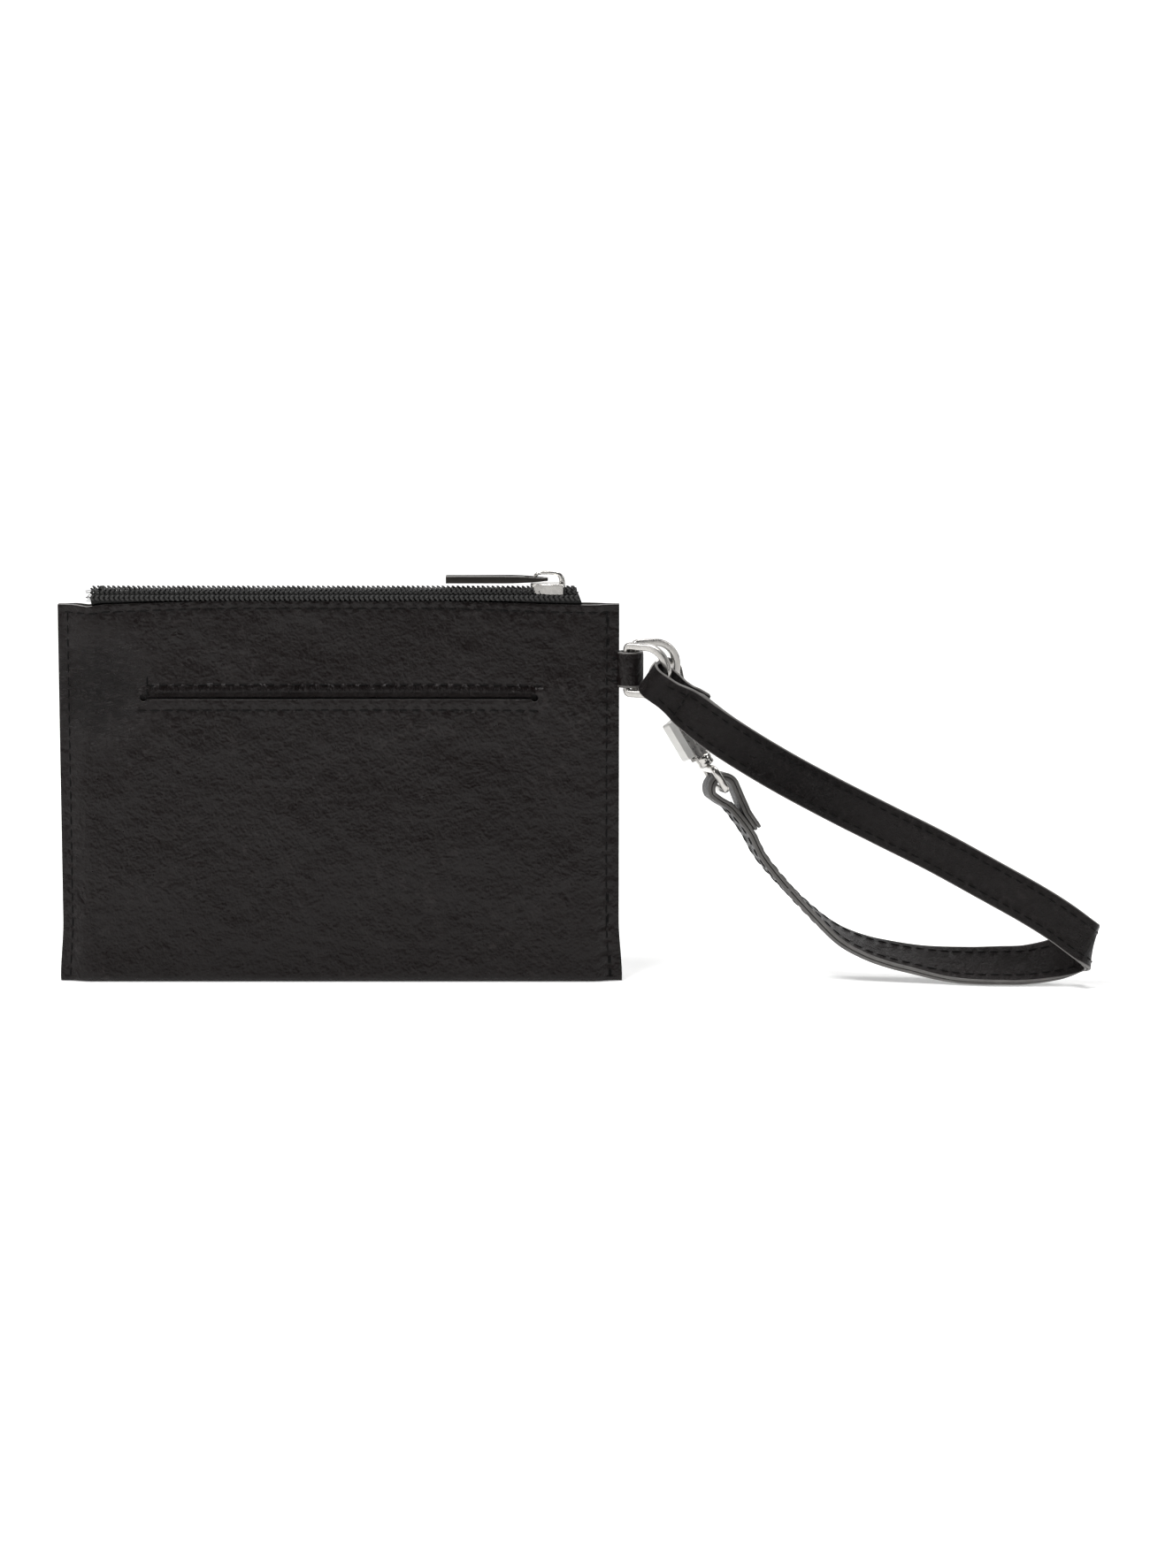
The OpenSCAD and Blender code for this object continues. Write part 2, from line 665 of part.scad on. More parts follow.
// A thread box of the given size, lying on the strap's outer face
module on_strap(s, side_off, size) {
  i = max([for (k = [0 : len(main_line) - 2]) run_length[k] <= s ? k : 0]);
  f = (s - run_length[i]) / (run_length[i + 1] - run_length[i]);
  t = unit(main_line[i + 1][0] - main_line[i][0]);
  wide = (1 - f) * across(main_line, i) + f * across(main_line, i + 1);
  w = unit(wide - (wide * t) * t);
  n = cross(t, w);
  base = (1 - f) * main_line[i][0] + f * main_line[i + 1][0];
  c = base + side_off * w + (ply_t + size[2] / 2 - stitch_sink) * n;
  multmatrix([
    [t[0], w[0], n[0], c[0]], [t[1], w[1], n[1], c[1]], [t[2], w[2], n[2], c[2]], [0, 0, 0, 1]
  ]) cube(size, center = true);
}

// One row of stitches along each edge of the strap
module strap_stitching() {
  inset = 2;
  margin = 12;
  count = floor((run_length[len(main_line) - 1] - 2 * margin) / stitch_pitch);
  color(thread_black) for (i = [0 : count], side = [-1, 1])
    on_strap(margin + i * stitch_pitch, side * (strap_w / 2 - inset), [stitch_l, thread_t, thread_t]);
}

// Thread tack across the strap behind its fold at the D-ring
module strap_end_tacks() {
  color(thread_black) for (y = [-3, -1, 1, 3]) on_strap(8.5, y, [thread_t, 1.4, thread_t]);
}

pouch_leather();
lining_bag();
slip_pocket_bag();
zip_tape_front();
zip_tape_back();
zip_coil_front();
zip_coil_back();
zip_end_tacks();
top_stitching();
side_stitching();
slip_pocket_stitching();
side_tab();
tab_stitching();
zip_slider();
zip_pull();
strap_d_ring();
hook_d_ring();
strap_face();
strap_backing();
strap_stitching();
strap_end_tacks();
swivel_eye();
hook_frame();
hook_bolt();
bolt_spring();
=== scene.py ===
import math
import bpy
import bmesh
from mathutils import Matrix, Vector, noise


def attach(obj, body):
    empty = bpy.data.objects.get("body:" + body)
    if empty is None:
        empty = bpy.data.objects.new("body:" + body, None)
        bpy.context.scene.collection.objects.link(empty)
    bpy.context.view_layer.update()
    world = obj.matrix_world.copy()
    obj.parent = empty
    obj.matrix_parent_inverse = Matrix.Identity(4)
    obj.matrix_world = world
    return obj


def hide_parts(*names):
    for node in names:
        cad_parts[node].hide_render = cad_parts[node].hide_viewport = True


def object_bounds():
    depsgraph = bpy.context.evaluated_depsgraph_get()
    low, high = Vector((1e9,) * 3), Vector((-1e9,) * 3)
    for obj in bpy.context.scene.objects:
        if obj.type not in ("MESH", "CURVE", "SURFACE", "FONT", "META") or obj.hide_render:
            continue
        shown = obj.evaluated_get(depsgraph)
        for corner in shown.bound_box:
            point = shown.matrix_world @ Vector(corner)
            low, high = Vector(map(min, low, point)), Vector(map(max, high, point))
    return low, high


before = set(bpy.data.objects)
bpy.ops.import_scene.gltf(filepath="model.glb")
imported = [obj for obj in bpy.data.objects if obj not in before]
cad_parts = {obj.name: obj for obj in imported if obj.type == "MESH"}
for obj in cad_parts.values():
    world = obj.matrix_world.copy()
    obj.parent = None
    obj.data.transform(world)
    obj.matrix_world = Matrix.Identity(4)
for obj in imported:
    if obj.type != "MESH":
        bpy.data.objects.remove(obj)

cad_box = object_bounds()

# ---- Studio ----
# A long lens a little above the wallet's middle, and a pale sweep that serves as table and wall.
# Broad soft lights; the room in front of the table stays darker, so bright metal has contrast.
scene = bpy.context.scene
scene.view_settings.view_transform = "Standard"
floor_z = cad_box[0][2]

aim = Vector((0.0619, 0, 0.0527))
tilt = math.radians(9)
stand = aim + 1.2 * Vector((0, -math.cos(tilt), math.sin(tilt)))
camera = bpy.data.objects.new("camera", bpy.data.cameras.new("camera"))
camera.data.lens = 104.5
camera.location = stand
camera.rotation_euler = (aim - stand).to_track_quat("-Z", "Y").to_euler()
scene.collection.objects.link(camera)
scene.camera = camera

sweep_line = [(-2.5, floor_z), (0.5, floor_z)]
sweep_line += [(0.5 + 0.6 * math.sin(a * math.pi / 24), floor_z + 0.6 - 0.6 * math.cos(a * math.pi / 24))
               for a in range(1, 13)]
sweep_line += [(1.1, 3.0)]
sweep_mesh = bpy.data.meshes.new("studio_sweep")
sweep_mesh.from_pydata([(x, y, z) for y, z in sweep_line for x in (-2.5, 2.5)], [],
                       [(2 * i, 2 * i + 1, 2 * i + 3, 2 * i + 2) for i in range(len(sweep_line) - 1)])
sweep_mesh.polygons.foreach_set("use_smooth", [True] * len(sweep_mesh.polygons))
sweep = bpy.data.objects.new("studio_sweep", sweep_mesh)
scene.collection.objects.link(sweep)
paper = bpy.data.materials.new("studio_paper")
paper.use_nodes = True
paper_shader = paper.node_tree.nodes["Principled BSDF"]
paper_shader.inputs["Base Color"].default_value = (0.86, 0.86, 0.855, 1)
paper_shader.inputs["Roughness"].default_value = 0.9
paper_shader.inputs["Specular IOR Level"].default_value = 0.1
paper_shader.inputs["Emission Color"].default_value = (1, 1, 0.995, 1)
paper_shader.inputs["Emission Strength"].default_value = 0.3
# The paper is clear from its back, so the wallet can be looked at from behind too.
paper_nodes, paper_links = paper.node_tree.nodes, paper.node_tree.links
paper_side, clear_back = paper_nodes.new("ShaderNodeNewGeometry"), paper_nodes.new("ShaderNodeBsdfTransparent")
paper_mix = paper_nodes.new("ShaderNodeMixShader")
paper_links.new(paper_side.outputs["Backfacing"], paper_mix.inputs[0])
paper_links.new(paper_shader.outputs[0], paper_mix.inputs[1])
paper_links.new(clear_back.outputs[0], paper_mix.inputs[2])
paper_links.new(paper_mix.outputs[0], paper_nodes["Material Output"].inputs["Surface"])
sweep_mesh.materials.append(paper)

def soft_light(name, place, size, power):
    lamp = bpy.data.lights.new(name, "AREA")
    lamp.shape = "RECTANGLE"
    lamp.size, lamp.size_y = size
    lamp.energy = power
    holder = bpy.data.objects.new(name, lamp)
    holder.location = place
    holder.rotation_euler = (Vector((0.06, 0, 0.05)) - Vector(place)).to_track_quat("-Z", "Y").to_euler()
    scene.collection.objects.link(holder)

soft_light("light_top", (-0.25, -0.35, 0.95), (0.4, 0.3), 9)
soft_light("light_left", (-0.9, -0.55, 0.4), (0.2, 0.3), 2.5)
soft_light("light_right", (1.1, -0.5, 0.45), (0.15, 0.5), 2)
soft_light("light_back", (0.3, 0.25, 1.2), (0.7, 0.3), 7)

room = bpy.data.worlds.new("room")
room.use_nodes = True
scene.world = room
room_nodes, room_links = room.node_tree.nodes, room.node_tree.links
room_way = room_nodes.new("ShaderNodeTexCoord")
room_split = room_nodes.new("ShaderNodeSeparateXYZ")
room_ramp = room_nodes.new("ShaderNodeValToRGB")
room_ramp.color_ramp.elements[0].position = 0.0
room_ramp.color_ramp.elements[0].color = (0.03, 0.029, 0.028, 1)
room_ramp.color_ramp.elements[1].position = 0.75
room_ramp.color_ramp.elements[1].color = (0.2, 0.2, 0.21, 1)
room_links.new(room_way.outputs["Generated"], room_split.inputs[0])
room_links.new(room_split.outputs["Z"], room_ramp.inputs[0])
room_links.new(room_ramp.outputs[0], room_nodes["Background"].inputs["Color"])
room_nodes["Background"].inputs["Strength"].default_value = 0.75
# The room shows plain and pale behind the table, and lights the metal with its darker shade.
plain_back, ray, pick = (room_nodes.new("ShaderNode" + kind) for kind in ("Background", "LightPath", "MixShader"))
plain_back.inputs["Color"].default_value = (0.95, 0.95, 0.945, 1)
room_links.new(ray.outputs["Is Camera Ray"], pick.inputs[0])
room_links.new(room_nodes["Background"].outputs[0], pick.inputs[1])
room_links.new(plain_back.outputs[0], pick.inputs[2])
room_links.new(pick.outputs[0], room_nodes["World Output"].inputs["Surface"])

# ---- Pouch leather ----
# One piece of black smooth-grain leather, folded at the bottom, its front panel slit for the slip
# pocket. Its cut edges are sealed with grey edge paint, and the flesh side shows inside.
def ease(t):
    t = min(1.0, max(0.0, t))
    return (1 - math.cos(math.pi * t)) / 2

def spaced(start, end, step):
    count = max(1, round(abs(end - start) / step))
    return [start + (end - start) * i / count for i in range(count + 1)]

def piece(name, points, faces, finishes, closed=True, groups=None):
    mesh = bpy.data.meshes.new(name)
    mesh.from_pydata([Vector(p) * 0.001 for p in points], [], faces)
    for finish in finishes:
        mesh.materials.append(finish)
    if groups:
        mesh.polygons.foreach_set("material_index", groups)
    mesh.polygons.foreach_set("use_smooth", [True] * len(mesh.polygons))
    if closed:
        made = bmesh.new()
        made.from_mesh(mesh)
        bmesh.ops.recalc_face_normals(made, faces=made.faces)
        made.to_mesh(mesh)
        made.free()
    thing = bpy.data.objects.new(name, mesh)
    scene.collection.objects.link(thing)
    return thing

def settle(thing):
    bpy.context.view_layer.update()
    done = bpy.data.meshes.new_from_object(thing.evaluated_get(bpy.context.evaluated_depsgraph_get()))
    done.name = thing.name
    thing.modifiers.clear()
    thing.data = done
    return thing

def place_piece(thing, body, slot, *nodes):
    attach(thing, body)
    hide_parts(*nodes)

class Finish:
    """A material with its shader, its coordinates, and short calls for its nodes."""
    def __init__(self, name, colour, roughness, metal=0.0):
        self.made = bpy.data.materials.new(name)
        self.made.use_nodes = True
        self.nodes, self.links = self.made.node_tree.nodes, self.made.node_tree.links
        self.shader = self.nodes["Principled BSDF"]
        self.shader.inputs["Base Color"].default_value = (*colour, 1)
        self.shader.inputs["Roughness"].default_value = roughness
        self.shader.inputs["Metallic"].default_value = metal
        self.place = self.nodes.new("ShaderNodeTexCoord").outputs["Object"]
        self.normal = None

    def feed(self, socket, value):
        if hasattr(value, "links"):
            self.links.new(value, socket)
        else:
            socket.default_value = value

    def calc(self, operation, a, b=0.0, c=0.0):
        node = self.nodes.new("ShaderNodeMath")
        node.operation = operation
        for socket, value in zip(node.inputs, (a, b, c)):
            self.feed(socket, value)
        return node.outputs[0]

    def stretched(self, scale):
        node = self.nodes.new("ShaderNodeMapping")
        self.links.new(self.place, node.inputs["Vector"])
        node.inputs["Scale"].default_value = scale
        return node.outputs[0]

    def noise(self, scale, detail=3.0, rough=0.55, place=None, distort=0.0):
        node = self.nodes.new("ShaderNodeTexNoise")
        self.links.new(place or self.place, node.inputs["Vector"])
        node.inputs["Scale"].default_value = scale
        node.inputs["Detail"].default_value = detail
        node.inputs["Roughness"].default_value = rough
        node.inputs["Distortion"].default_value = distort
        return node.outputs["Fac"]

    def cells(self, scale, place=None):
        node = self.nodes.new("ShaderNodeTexVoronoi")
        self.links.new(place or self.place, node.inputs["Vector"])
        node.inputs["Scale"].default_value = scale
        return node.outputs["Distance"]

    def range(self, value, low, high, to_low, to_high):
        node = self.nodes.new("ShaderNodeMapRange")
        for socket, item in zip(node.inputs, (value, low, high, to_low, to_high)):
            self.feed(socket, item)
        return node.outputs[0]

    def shade(self, value, dark, light):
        node = self.nodes.new("ShaderNodeMix")
        node.data_type = "RGBA"
        self.feed(node.inputs[0], value)
        node.inputs[6].default_value = (*dark, 1)
        node.inputs[7].default_value = (*light, 1)
        self.links.new(node.outputs[2], self.shader.inputs["Base Color"])

    def rough(self, value):
        self.links.new(value, self.shader.inputs["Roughness"])

    def raise_by(self, height, distance, strength=1.0):
        node = self.nodes.new("ShaderNodeBump")
        self.links.new(height, node.inputs["Height"])
        node.inputs["Distance"].default_value = distance
        node.inputs["Strength"].default_value = strength
        if self.normal:
            self.links.new(self.normal, node.inputs["Normal"])
        self.normal = node.outputs[0]
        self.links.new(self.normal, self.shader.inputs["Normal"])

    def split(self, place):
        node = self.nodes.new("ShaderNodeSeparateXYZ")
        self.links.new(place, node.inputs[0])
        return node.outputs[0], node.outputs[1], node.outputs[2]

    def flat_place(self, name):
        node = self.nodes.new("ShaderNodeUVMap")
        node.uv_map = name
        return self.split(node.outputs[0])[:2]

    def away(self, value, middle, width):
        far = self.calc("DIVIDE", self.calc("SUBTRACT", value, middle), width)
        return self.calc("MULTIPLY", far, far)

    def fade(self, far):
        return self.calc("EXPONENT", self.calc("MULTIPLY", far, -1.0))

    def pucker(self, along, across, line, width, pitch):
        bell = self.fade(self.away(across, line, width))
        wave = self.calc("COSINE", self.calc("MULTIPLY", along, 2 * math.pi / pitch))
        return self.calc("MULTIPLY", bell, wave)

def leather_grain(finish, tone=1.0, wrinkles_and_glints=None):
    finish.raise_by(finish.cells(1250), 0.0002, 0.6)
    finish.raise_by(finish.noise(400, 5.0, 0.6, None, 0.8), 0.0008, 0.6)
    finish.raise_by(finish.noise(75, 4.0, 0.55), 0.0028, 0.7)
    # Lighter flecks, gathered in clusters, are painted glints, and so is the lighter crease crest colour passed in; the
    # faint cloud is the leather's own uneven tone.
    glint_flecks = finish.range(finish.noise(330, 5.0, 0.6, None, 0.9), 0.54, 0.7, 0.0, 1.0)
    glint_clusters = finish.range(finish.noise(38, 4.0, 0.6), 0.42, 0.66, 0.05, 1.0)
    tone_and_glints = finish.calc("MULTIPLY", finish.noise(34, 4.0, 0.6), 0.2)
    tone_and_glints = finish.calc("ADD", finish.calc("MULTIPLY", glint_flecks, glint_clusters), tone_and_glints)
    if wrinkles_and_glints is not None:
        tone_and_glints = finish.calc("ADD", tone_and_glints, wrinkles_and_glints)
    finish.shade(tone_and_glints, tuple(tone * c for c in (0.0048, 0.0031, 0.0029)),
                 tuple(tone * c for c in (0.0165, 0.0132, 0.0128)))
    finish.rough(finish.range(finish.noise(210, 5.0, 0.62), 0.25, 0.75, 0.25, 0.4))
    finish.shader.inputs["Specular IOR Level"].default_value = 0.2

stitch_pitch = 3.35
top_row, slit_z, slit_over, slit_under = 98.5, 76.0, 79.1, 72.6
left_row, right_row = -70.9, 70.2
leather = Finish("pouch_leather_black", (0.015, 0.013, 0.012), 0.44)
panel_x, panel_z = leather.flat_place("panel")
# A patch of creases at the upper left: its crease crests are painted lighter as glints, and the creases are raised in
# bump too.
patch = leather.fade(leather.calc("ADD", leather.away(panel_x, -0.0632, 0.0085), leather.away(panel_z, 0.0785, 0.0095)))
crease = leather.noise(1.0, 3.0, 0.6, leather.stretched((260, 260, 760)), 1.6)
crease = leather.calc("ABSOLUTE", leather.calc("SUBTRACT", crease, 0.5))
leather_grain(leather, 1.0, leather.calc("MULTIPLY", leather.range(crease, 0.02, 0.16, 0.0, 1.3), patch))
gathers = leather.pucker(panel_x, panel_z, top_row * 0.001, 0.0013, stitch_pitch * 0.001)
for along, across, line, width in ((panel_x, panel_z, slit_over - 1.2, 0.0013), (panel_x, panel_z, slit_under, 0.0009),
                                   (panel_z, panel_x, left_row, 0.0013), (panel_z, panel_x, right_row, 0.0013)):
    gathers = leather.calc("ADD", gathers, leather.pucker(along, across, line * 0.001, width, stitch_pitch * 0.001))
leather.raise_by(gathers, 0.0002, 0.8)
strip_x = leather.range(leather.calc("ABSOLUTE", panel_x), 0.0495, 0.0515, 1.0, 0.0)
strip = leather.calc("MULTIPLY", leather.fade(leather.away(panel_z, 0.0776, 0.0011)), strip_x)
crumple = leather.noise(1.0, 3.0, 0.6, leather.stretched((1100, 600, 520)), 0.6)
leather.raise_by(leather.calc("MULTIPLY", crumple, strip), 0.003, 1.0)
leather.raise_by(leather.calc("MULTIPLY", crease, patch), 0.008, 1.0)

edge_paint = Finish("edge_paint_grey", (0.19, 0.184, 0.178), 0.38)
edge_paint.shade(edge_paint.noise(420, 4.0, 0.6), (0.06, 0.057, 0.054), (0.15, 0.143, 0.137))
edge_paint.shader.inputs["Specular IOR Level"].default_value = 0.35
edge_paint.raise_by(edge_paint.noise(1500, 3.0), 0.00008, 0.5)
edge_paint.rough(edge_paint.range(edge_paint.noise(600), 0.3, 0.7, 0.28, 0.5))

flesh_side = Finish("leather_flesh_side", (0.03, 0.026, 0.023), 0.95)
flesh_side.shade(flesh_side.noise(900, 5.0, 0.7), (0.016, 0.014, 0.012), (0.05, 0.043, 0.038))
flesh_side.raise_by(flesh_side.noise(2600, 5.0, 0.7), 0.00012, 0.9)

def half_thickness(x):
    return 1.35 + 1.85 * ease((73.5 - abs(x)) / 8)

def edge_rise(x):
    dip = 0.5 * math.exp(-((x + 65.5) / 2.2) ** 2)
    return 1.1 * (1 - ease((abs(x + 2) - 24) / 46)) - dip

def panel_point(x, z, side):
    out = half_thickness(x)
    inner = ease((73.5 - abs(x)) / 16) * ease((100.5 - z) / 12 + 0.15) * ease(z / 12)
    out += 0.55 * inner * noise.noise(Vector((x / 34, z / 27, 4.0 * side + 1.3)))
    out += 0.16 * inner * noise.noise(Vector((x / 11, z / 8, 2.0 * side - 3.1)))
    if z > 95:
        out -= 0.16 * math.exp(-((z - top_row) / 0.7) ** 2)
    for row in (left_row, right_row):
        out -= 0.14 * math.exp(-((x - row) / 0.75) ** 2) * ease(z / 4)
    if side < 0 and abs(x) < 54.5:
        along = ease((54.5 - abs(x)) / 3)
        out += along * (0.42 * math.exp(-((z - 77.5) / 1.0) ** 2) - 0.22 * math.exp(-((z - slit_over) / 0.55) ** 2)
                        - 0.14 * math.exp(-((z - slit_under) / 0.55) ** 2) + 0.16 * math.exp(-((z - 74.6) / 1.0) ** 2))
    flare = 0.9 * ease((abs(x) - 58) / 15.5) * (1 - ease(z / 17))
    lift = edge_rise(x) * ease((z - 62) / 38.5)
    return Vector((x + math.copysign(flare, x), side * out, z + lift))

panel_rows = (spaced(100.5, 97, 0.7) + spaced(97, 81, 1.6)[1:] + spaced(81, 71, 0.42)[1:] + spaced(71, 1.8, 1.75)[1:])
panel_columns = spaced(-73.5, 73.5, 1.1)
fold_arc = [(math.cos(a * math.pi / 12), math.sin(a * math.pi / 12)) for a in range(1, 6)]
shell_points, shell_flat = [], []
for x in panel_columns:
    half = half_thickness(x)
    radius = min(1.8, half - 0.03)
    line = [(panel_point(x, z, -1), z) for z in panel_rows]
    low = line[-1][0]
    line += [(Vector((low.x, -half + radius * (1 - c), radius * (1 - s))), 0.9 - 0.9 * s) for c, s in fold_arc]
    line += [(Vector((low.x, t * (half - radius), 0)), 0.0) for t in (-1, -0.33, 0.33, 1)]
    line += [(Vector((low.x, half - radius * (1 - c), radius * (1 - s))), 0.9 - 0.9 * s) for c, s in reversed(fold_arc)]
    line += [(panel_point(x, z, 1), z) for z in reversed(panel_rows[::2] + panel_rows[-1:])]
    shell_points += [p for p, _ in line]
    shell_flat += [(x, z) for _, z in line]
tall = len(line)
shell_faces = [(i * tall + k, i * tall + k + 1, (i + 1) * tall + k + 1, (i + 1) * tall + k)
               for i in range(len(panel_columns) - 1) for k in range(tall - 1)]
pouch = piece("pouch_shell", shell_points, shell_faces, [leather.made, edge_paint.made, flesh_side.made], closed=False)
flat_map = pouch.data.uv_layers.new(name="panel")
for loop in pouch.data.loops:
    flat_map.data[loop.index].uv = Vector(shell_flat[loop.vertex_index]) * 0.001
wall = pouch.modifiers.new("wall", "SOLIDIFY")
wall.thickness, wall.offset, wall.use_even_offset = 0.00128, -1, False
wall.material_offset, wall.material_offset_rim = 2, 1
softened = pouch.modifiers.new("softened_edges", "BEVEL")
softened.limit_method, softened.angle_limit, softened.width, softened.segments = "ANGLE", math.radians(50), 0.0003, 2
# The bevel faces take the grey edge paint, so a lighter line runs along the rounded edges: partly the real paint,
# partly a painted highlight.
softened.material = 1
settle(pouch)

slit_outline = [(-51.3 + math.cos(math.radians(a)), slit_z + math.sin(math.radians(a))) for a in spaced(22, 338, 20)]
slit_outline += [(51.3 + math.cos(math.radians(a)), slit_z + math.sin(math.radians(a))) for a in spaced(202, 518, 20)]
turns = len(slit_outline)
slit_knife = piece("slit_knife", [(x, -7, z) for x, z in slit_outline] + [(x, -0.9, z) for x, z in slit_outline],
                   [tuple(range(turns)), tuple(range(turns, 2 * turns))]
                   + [(i, (i + 1) % turns, turns + (i + 1) % turns, turns + i) for i in range(turns)], [edge_paint.made])
cut = pouch.modifiers.new("slit", "BOOLEAN")
cut.operation, cut.solver, cut.object = "DIFFERENCE", "EXACT", slit_knife
cut.material_mode = "TRANSFER"
settle(pouch)
bpy.data.objects.remove(slit_knife)
place_piece(pouch, "pouch", "leather", "pouch_leather")

# ---- Lining and slip pocket ----
# The main compartment has a bag of thin black twill, and the slip pocket behind the slit has a
# flat bag of the same twill. Both are sewn in at their tops and hang free below.
twill = Finish("lining_twill", (0.02, 0.019, 0.019), 0.8)
twill_x, _, twill_z = twill.split(twill.place)
twill_rib = twill.calc("SINE", twill.calc("MULTIPLY", twill.calc("ADD", twill_x, twill_z), 9000.0))
twill.raise_by(twill_rib, 0.00008, 0.7)
twill.shade(twill.noise(300, 4.0), (0.012, 0.011, 0.011), (0.035, 0.033, 0.032))
twill.shader.inputs["Sheen Weight"].default_value = 0.3

def cloth_bag(name, half_width, middle_y, half_deep, low, tops, node):
    columns, points = spaced(-half_width, half_width, 4), []
    heights = spaced(0, 1, 0.05)
    for x in columns:
        taper = ease((half_width - abs(x)) / 5) * 0.7 + 0.3
        sag = 0.12 * noise.noise(Vector((x / 9, low, 0.5)))
        deep = half_deep * taper
        points += [(x, middle_y - deep + sag * t, low + (tops[0] - low) * (1 - t)) for t in heights]
        points += [(x, middle_y + deep + sag * (1 - t), low + (tops[1] - low) * t) for t in heights]
    tall = 2 * len(heights)
    faces = [(i * tall + k, i * tall + k + 1, (i + 1) * tall + k + 1, (i + 1) * tall + k)
             for i in range(len(columns) - 1) for k in range(tall - 1)]
    for i in (0, len(columns) - 1):
        faces += [tuple(i * tall + k for k in (j, j + 1, tall - 2 - j, tall - 1 - j)) for j in range(len(heights) - 1)]
    bag = piece(name, points, faces, [twill.made], closed=False)
    cloth = bag.modifiers.new("cloth", "SOLIDIFY")
    cloth.thickness, cloth.offset = 0.00018, 0
    settle(bag)
    place_piece(bag, "pouch", "lining", node)

cloth_bag("main_lining", 64.5, 0.0, 0.95, 1.75, (99.2, 99.2), "lining_bag")
cloth_bag("slip_pocket_lining", 54, -1.62, 0.13, 24.2, (74.7, 79.6), "slip_pocket_bag")

# ---- Seam stitching on the pouch ----
# Black bonded thread, lockstitched through both panels, so each row shows on the front and the back.
# The side rows end in short back-tacks beside the tab and at the bottom.
def open_tree(name, material, **sizes):
    tree = bpy.data.node_groups.new(name, "GeometryNodeTree")
    ask = tree.interface.new_socket
    ask("Geometry", in_out="INPUT", socket_type="NodeSocketGeometry")
    for label, start in sizes.items():
        kind = "NodeSocketInt" if isinstance(start, int) else "NodeSocketFloat"
        ask(label, in_out="INPUT", socket_type=kind).default_value = start
    ask(material, in_out="INPUT", socket_type="NodeSocketMaterial")
    ask("Geometry", in_out="OUTPUT", socket_type="NodeSocketGeometry")
    return tree, tree.nodes.new, tree.links.new, tree.nodes.new("NodeGroupInput")

def close_tree(tree, made, material):
    make, join = tree.nodes.new, tree.links.new
    real, dye, result = make("GeometryNodeRealizeInstances"), make("GeometryNodeSetMaterial"), make("NodeGroupOutput")
    join(made, real.inputs[0])
    join(real.outputs[0], dye.inputs["Geometry"])
    join(material, dye.inputs["Material"])
    join(dye.outputs[0], result.inputs[0])
    return tree

def points_along(make, join, given):
    to_curve, resample = make("GeometryNodeMeshToCurve"), make("GeometryNodeResampleCurve")
    resample.mode = "LENGTH"
    join(given.outputs["Geometry"], to_curve.inputs["Mesh"])
    join(to_curve.outputs["Curve"], resample.inputs["Curve"])
    join(given.outputs["Pitch"], resample.inputs["Length"])
    return resample.outputs["Curve"]

def stitch_tree():
    tree, make, join, given = open_tree("stitch_row", "Thread", Pitch=0.00335, Length=0.0024, Thickness=0.00045, Slant=0.0,
                                        Seed=7)
    bead, smooth = make("GeometryNodeMeshUVSphere"), make("GeometryNodeSetShadeSmooth")
    bead.inputs["Segments"].default_value, bead.inputs["Rings"].default_value = 8, 5
    bead.inputs["Radius"].default_value = 0.5
    join(bead.outputs["Mesh"], smooth.inputs["Geometry"])
    size, jitter, scaled = make("ShaderNodeCombineXYZ"), make("FunctionNodeRandomValue"), make("ShaderNodeVectorMath")
    join(given.outputs["Length"], size.inputs[0])
    join(given.outputs["Thickness"], size.inputs[1])
    join(given.outputs["Thickness"], size.inputs[2])
    jitter.data_type = "FLOAT_VECTOR"
    jitter.inputs[0].default_value, jitter.inputs[1].default_value = (0.9, 0.92, 0.92), (1.06, 1.1, 1.1)
    join(given.outputs["Seed"], next(s for s in jitter.inputs if s.name == "Seed"))
    scaled.operation = "MULTIPLY"
    join(size.outputs[0], scaled.inputs[0])
    join(jitter.outputs[0], scaled.inputs[1])
    tangent, align = make("GeometryNodeInputTangent"), make("FunctionNodeAlignRotationToVector")
    align.axis = "X"
    join(tangent.outputs[0], align.inputs["Vector"])
    lean, turn = make("ShaderNodeCombineXYZ"), make("FunctionNodeRotateRotation")
    turn.rotation_space = "LOCAL"
    join(given.outputs["Slant"], lean.inputs[1])
    join(align.outputs[0], turn.inputs[0])
    join(lean.outputs[0], turn.inputs[1])
    spread = make("GeometryNodeInstanceOnPoints")
    join(points_along(make, join, given), spread.inputs["Points"])
    join(smooth.outputs["Geometry"], spread.inputs["Instance"])
    join(turn.outputs[0], spread.inputs["Rotation"])
    join(scaled.outputs[0], spread.inputs["Scale"])
    return close_tree(tree, spread.outputs[0], given.outputs["Thread"])

def grown(name, lines, tree, **values):
    points, edges = [], []
    for line in lines:
        edges += [(len(points) + i, len(points) + i + 1) for i in range(len(line) - 1)]
        points += [Vector(p) * 0.001 for p in line]
    mesh = bpy.data.meshes.new(name + "_line")
    mesh.from_pydata(points, edges, [])
    seed_thing = bpy.data.objects.new(name + "_line", mesh)
    scene.collection.objects.link(seed_thing)
    grow = seed_thing.modifiers.new("grow", "NODES")
    grow.node_group = tree
    for item in tree.interface.items_tree:
        if item.in_out == "INPUT" and item.name in values:
            grow[item.identifier] = values[item.name]
    settle(seed_thing)
    result = bpy.data.objects.new(name, seed_thing.data)
    bpy.data.objects.remove(seed_thing)
    scene.collection.objects.link(result)
    return result

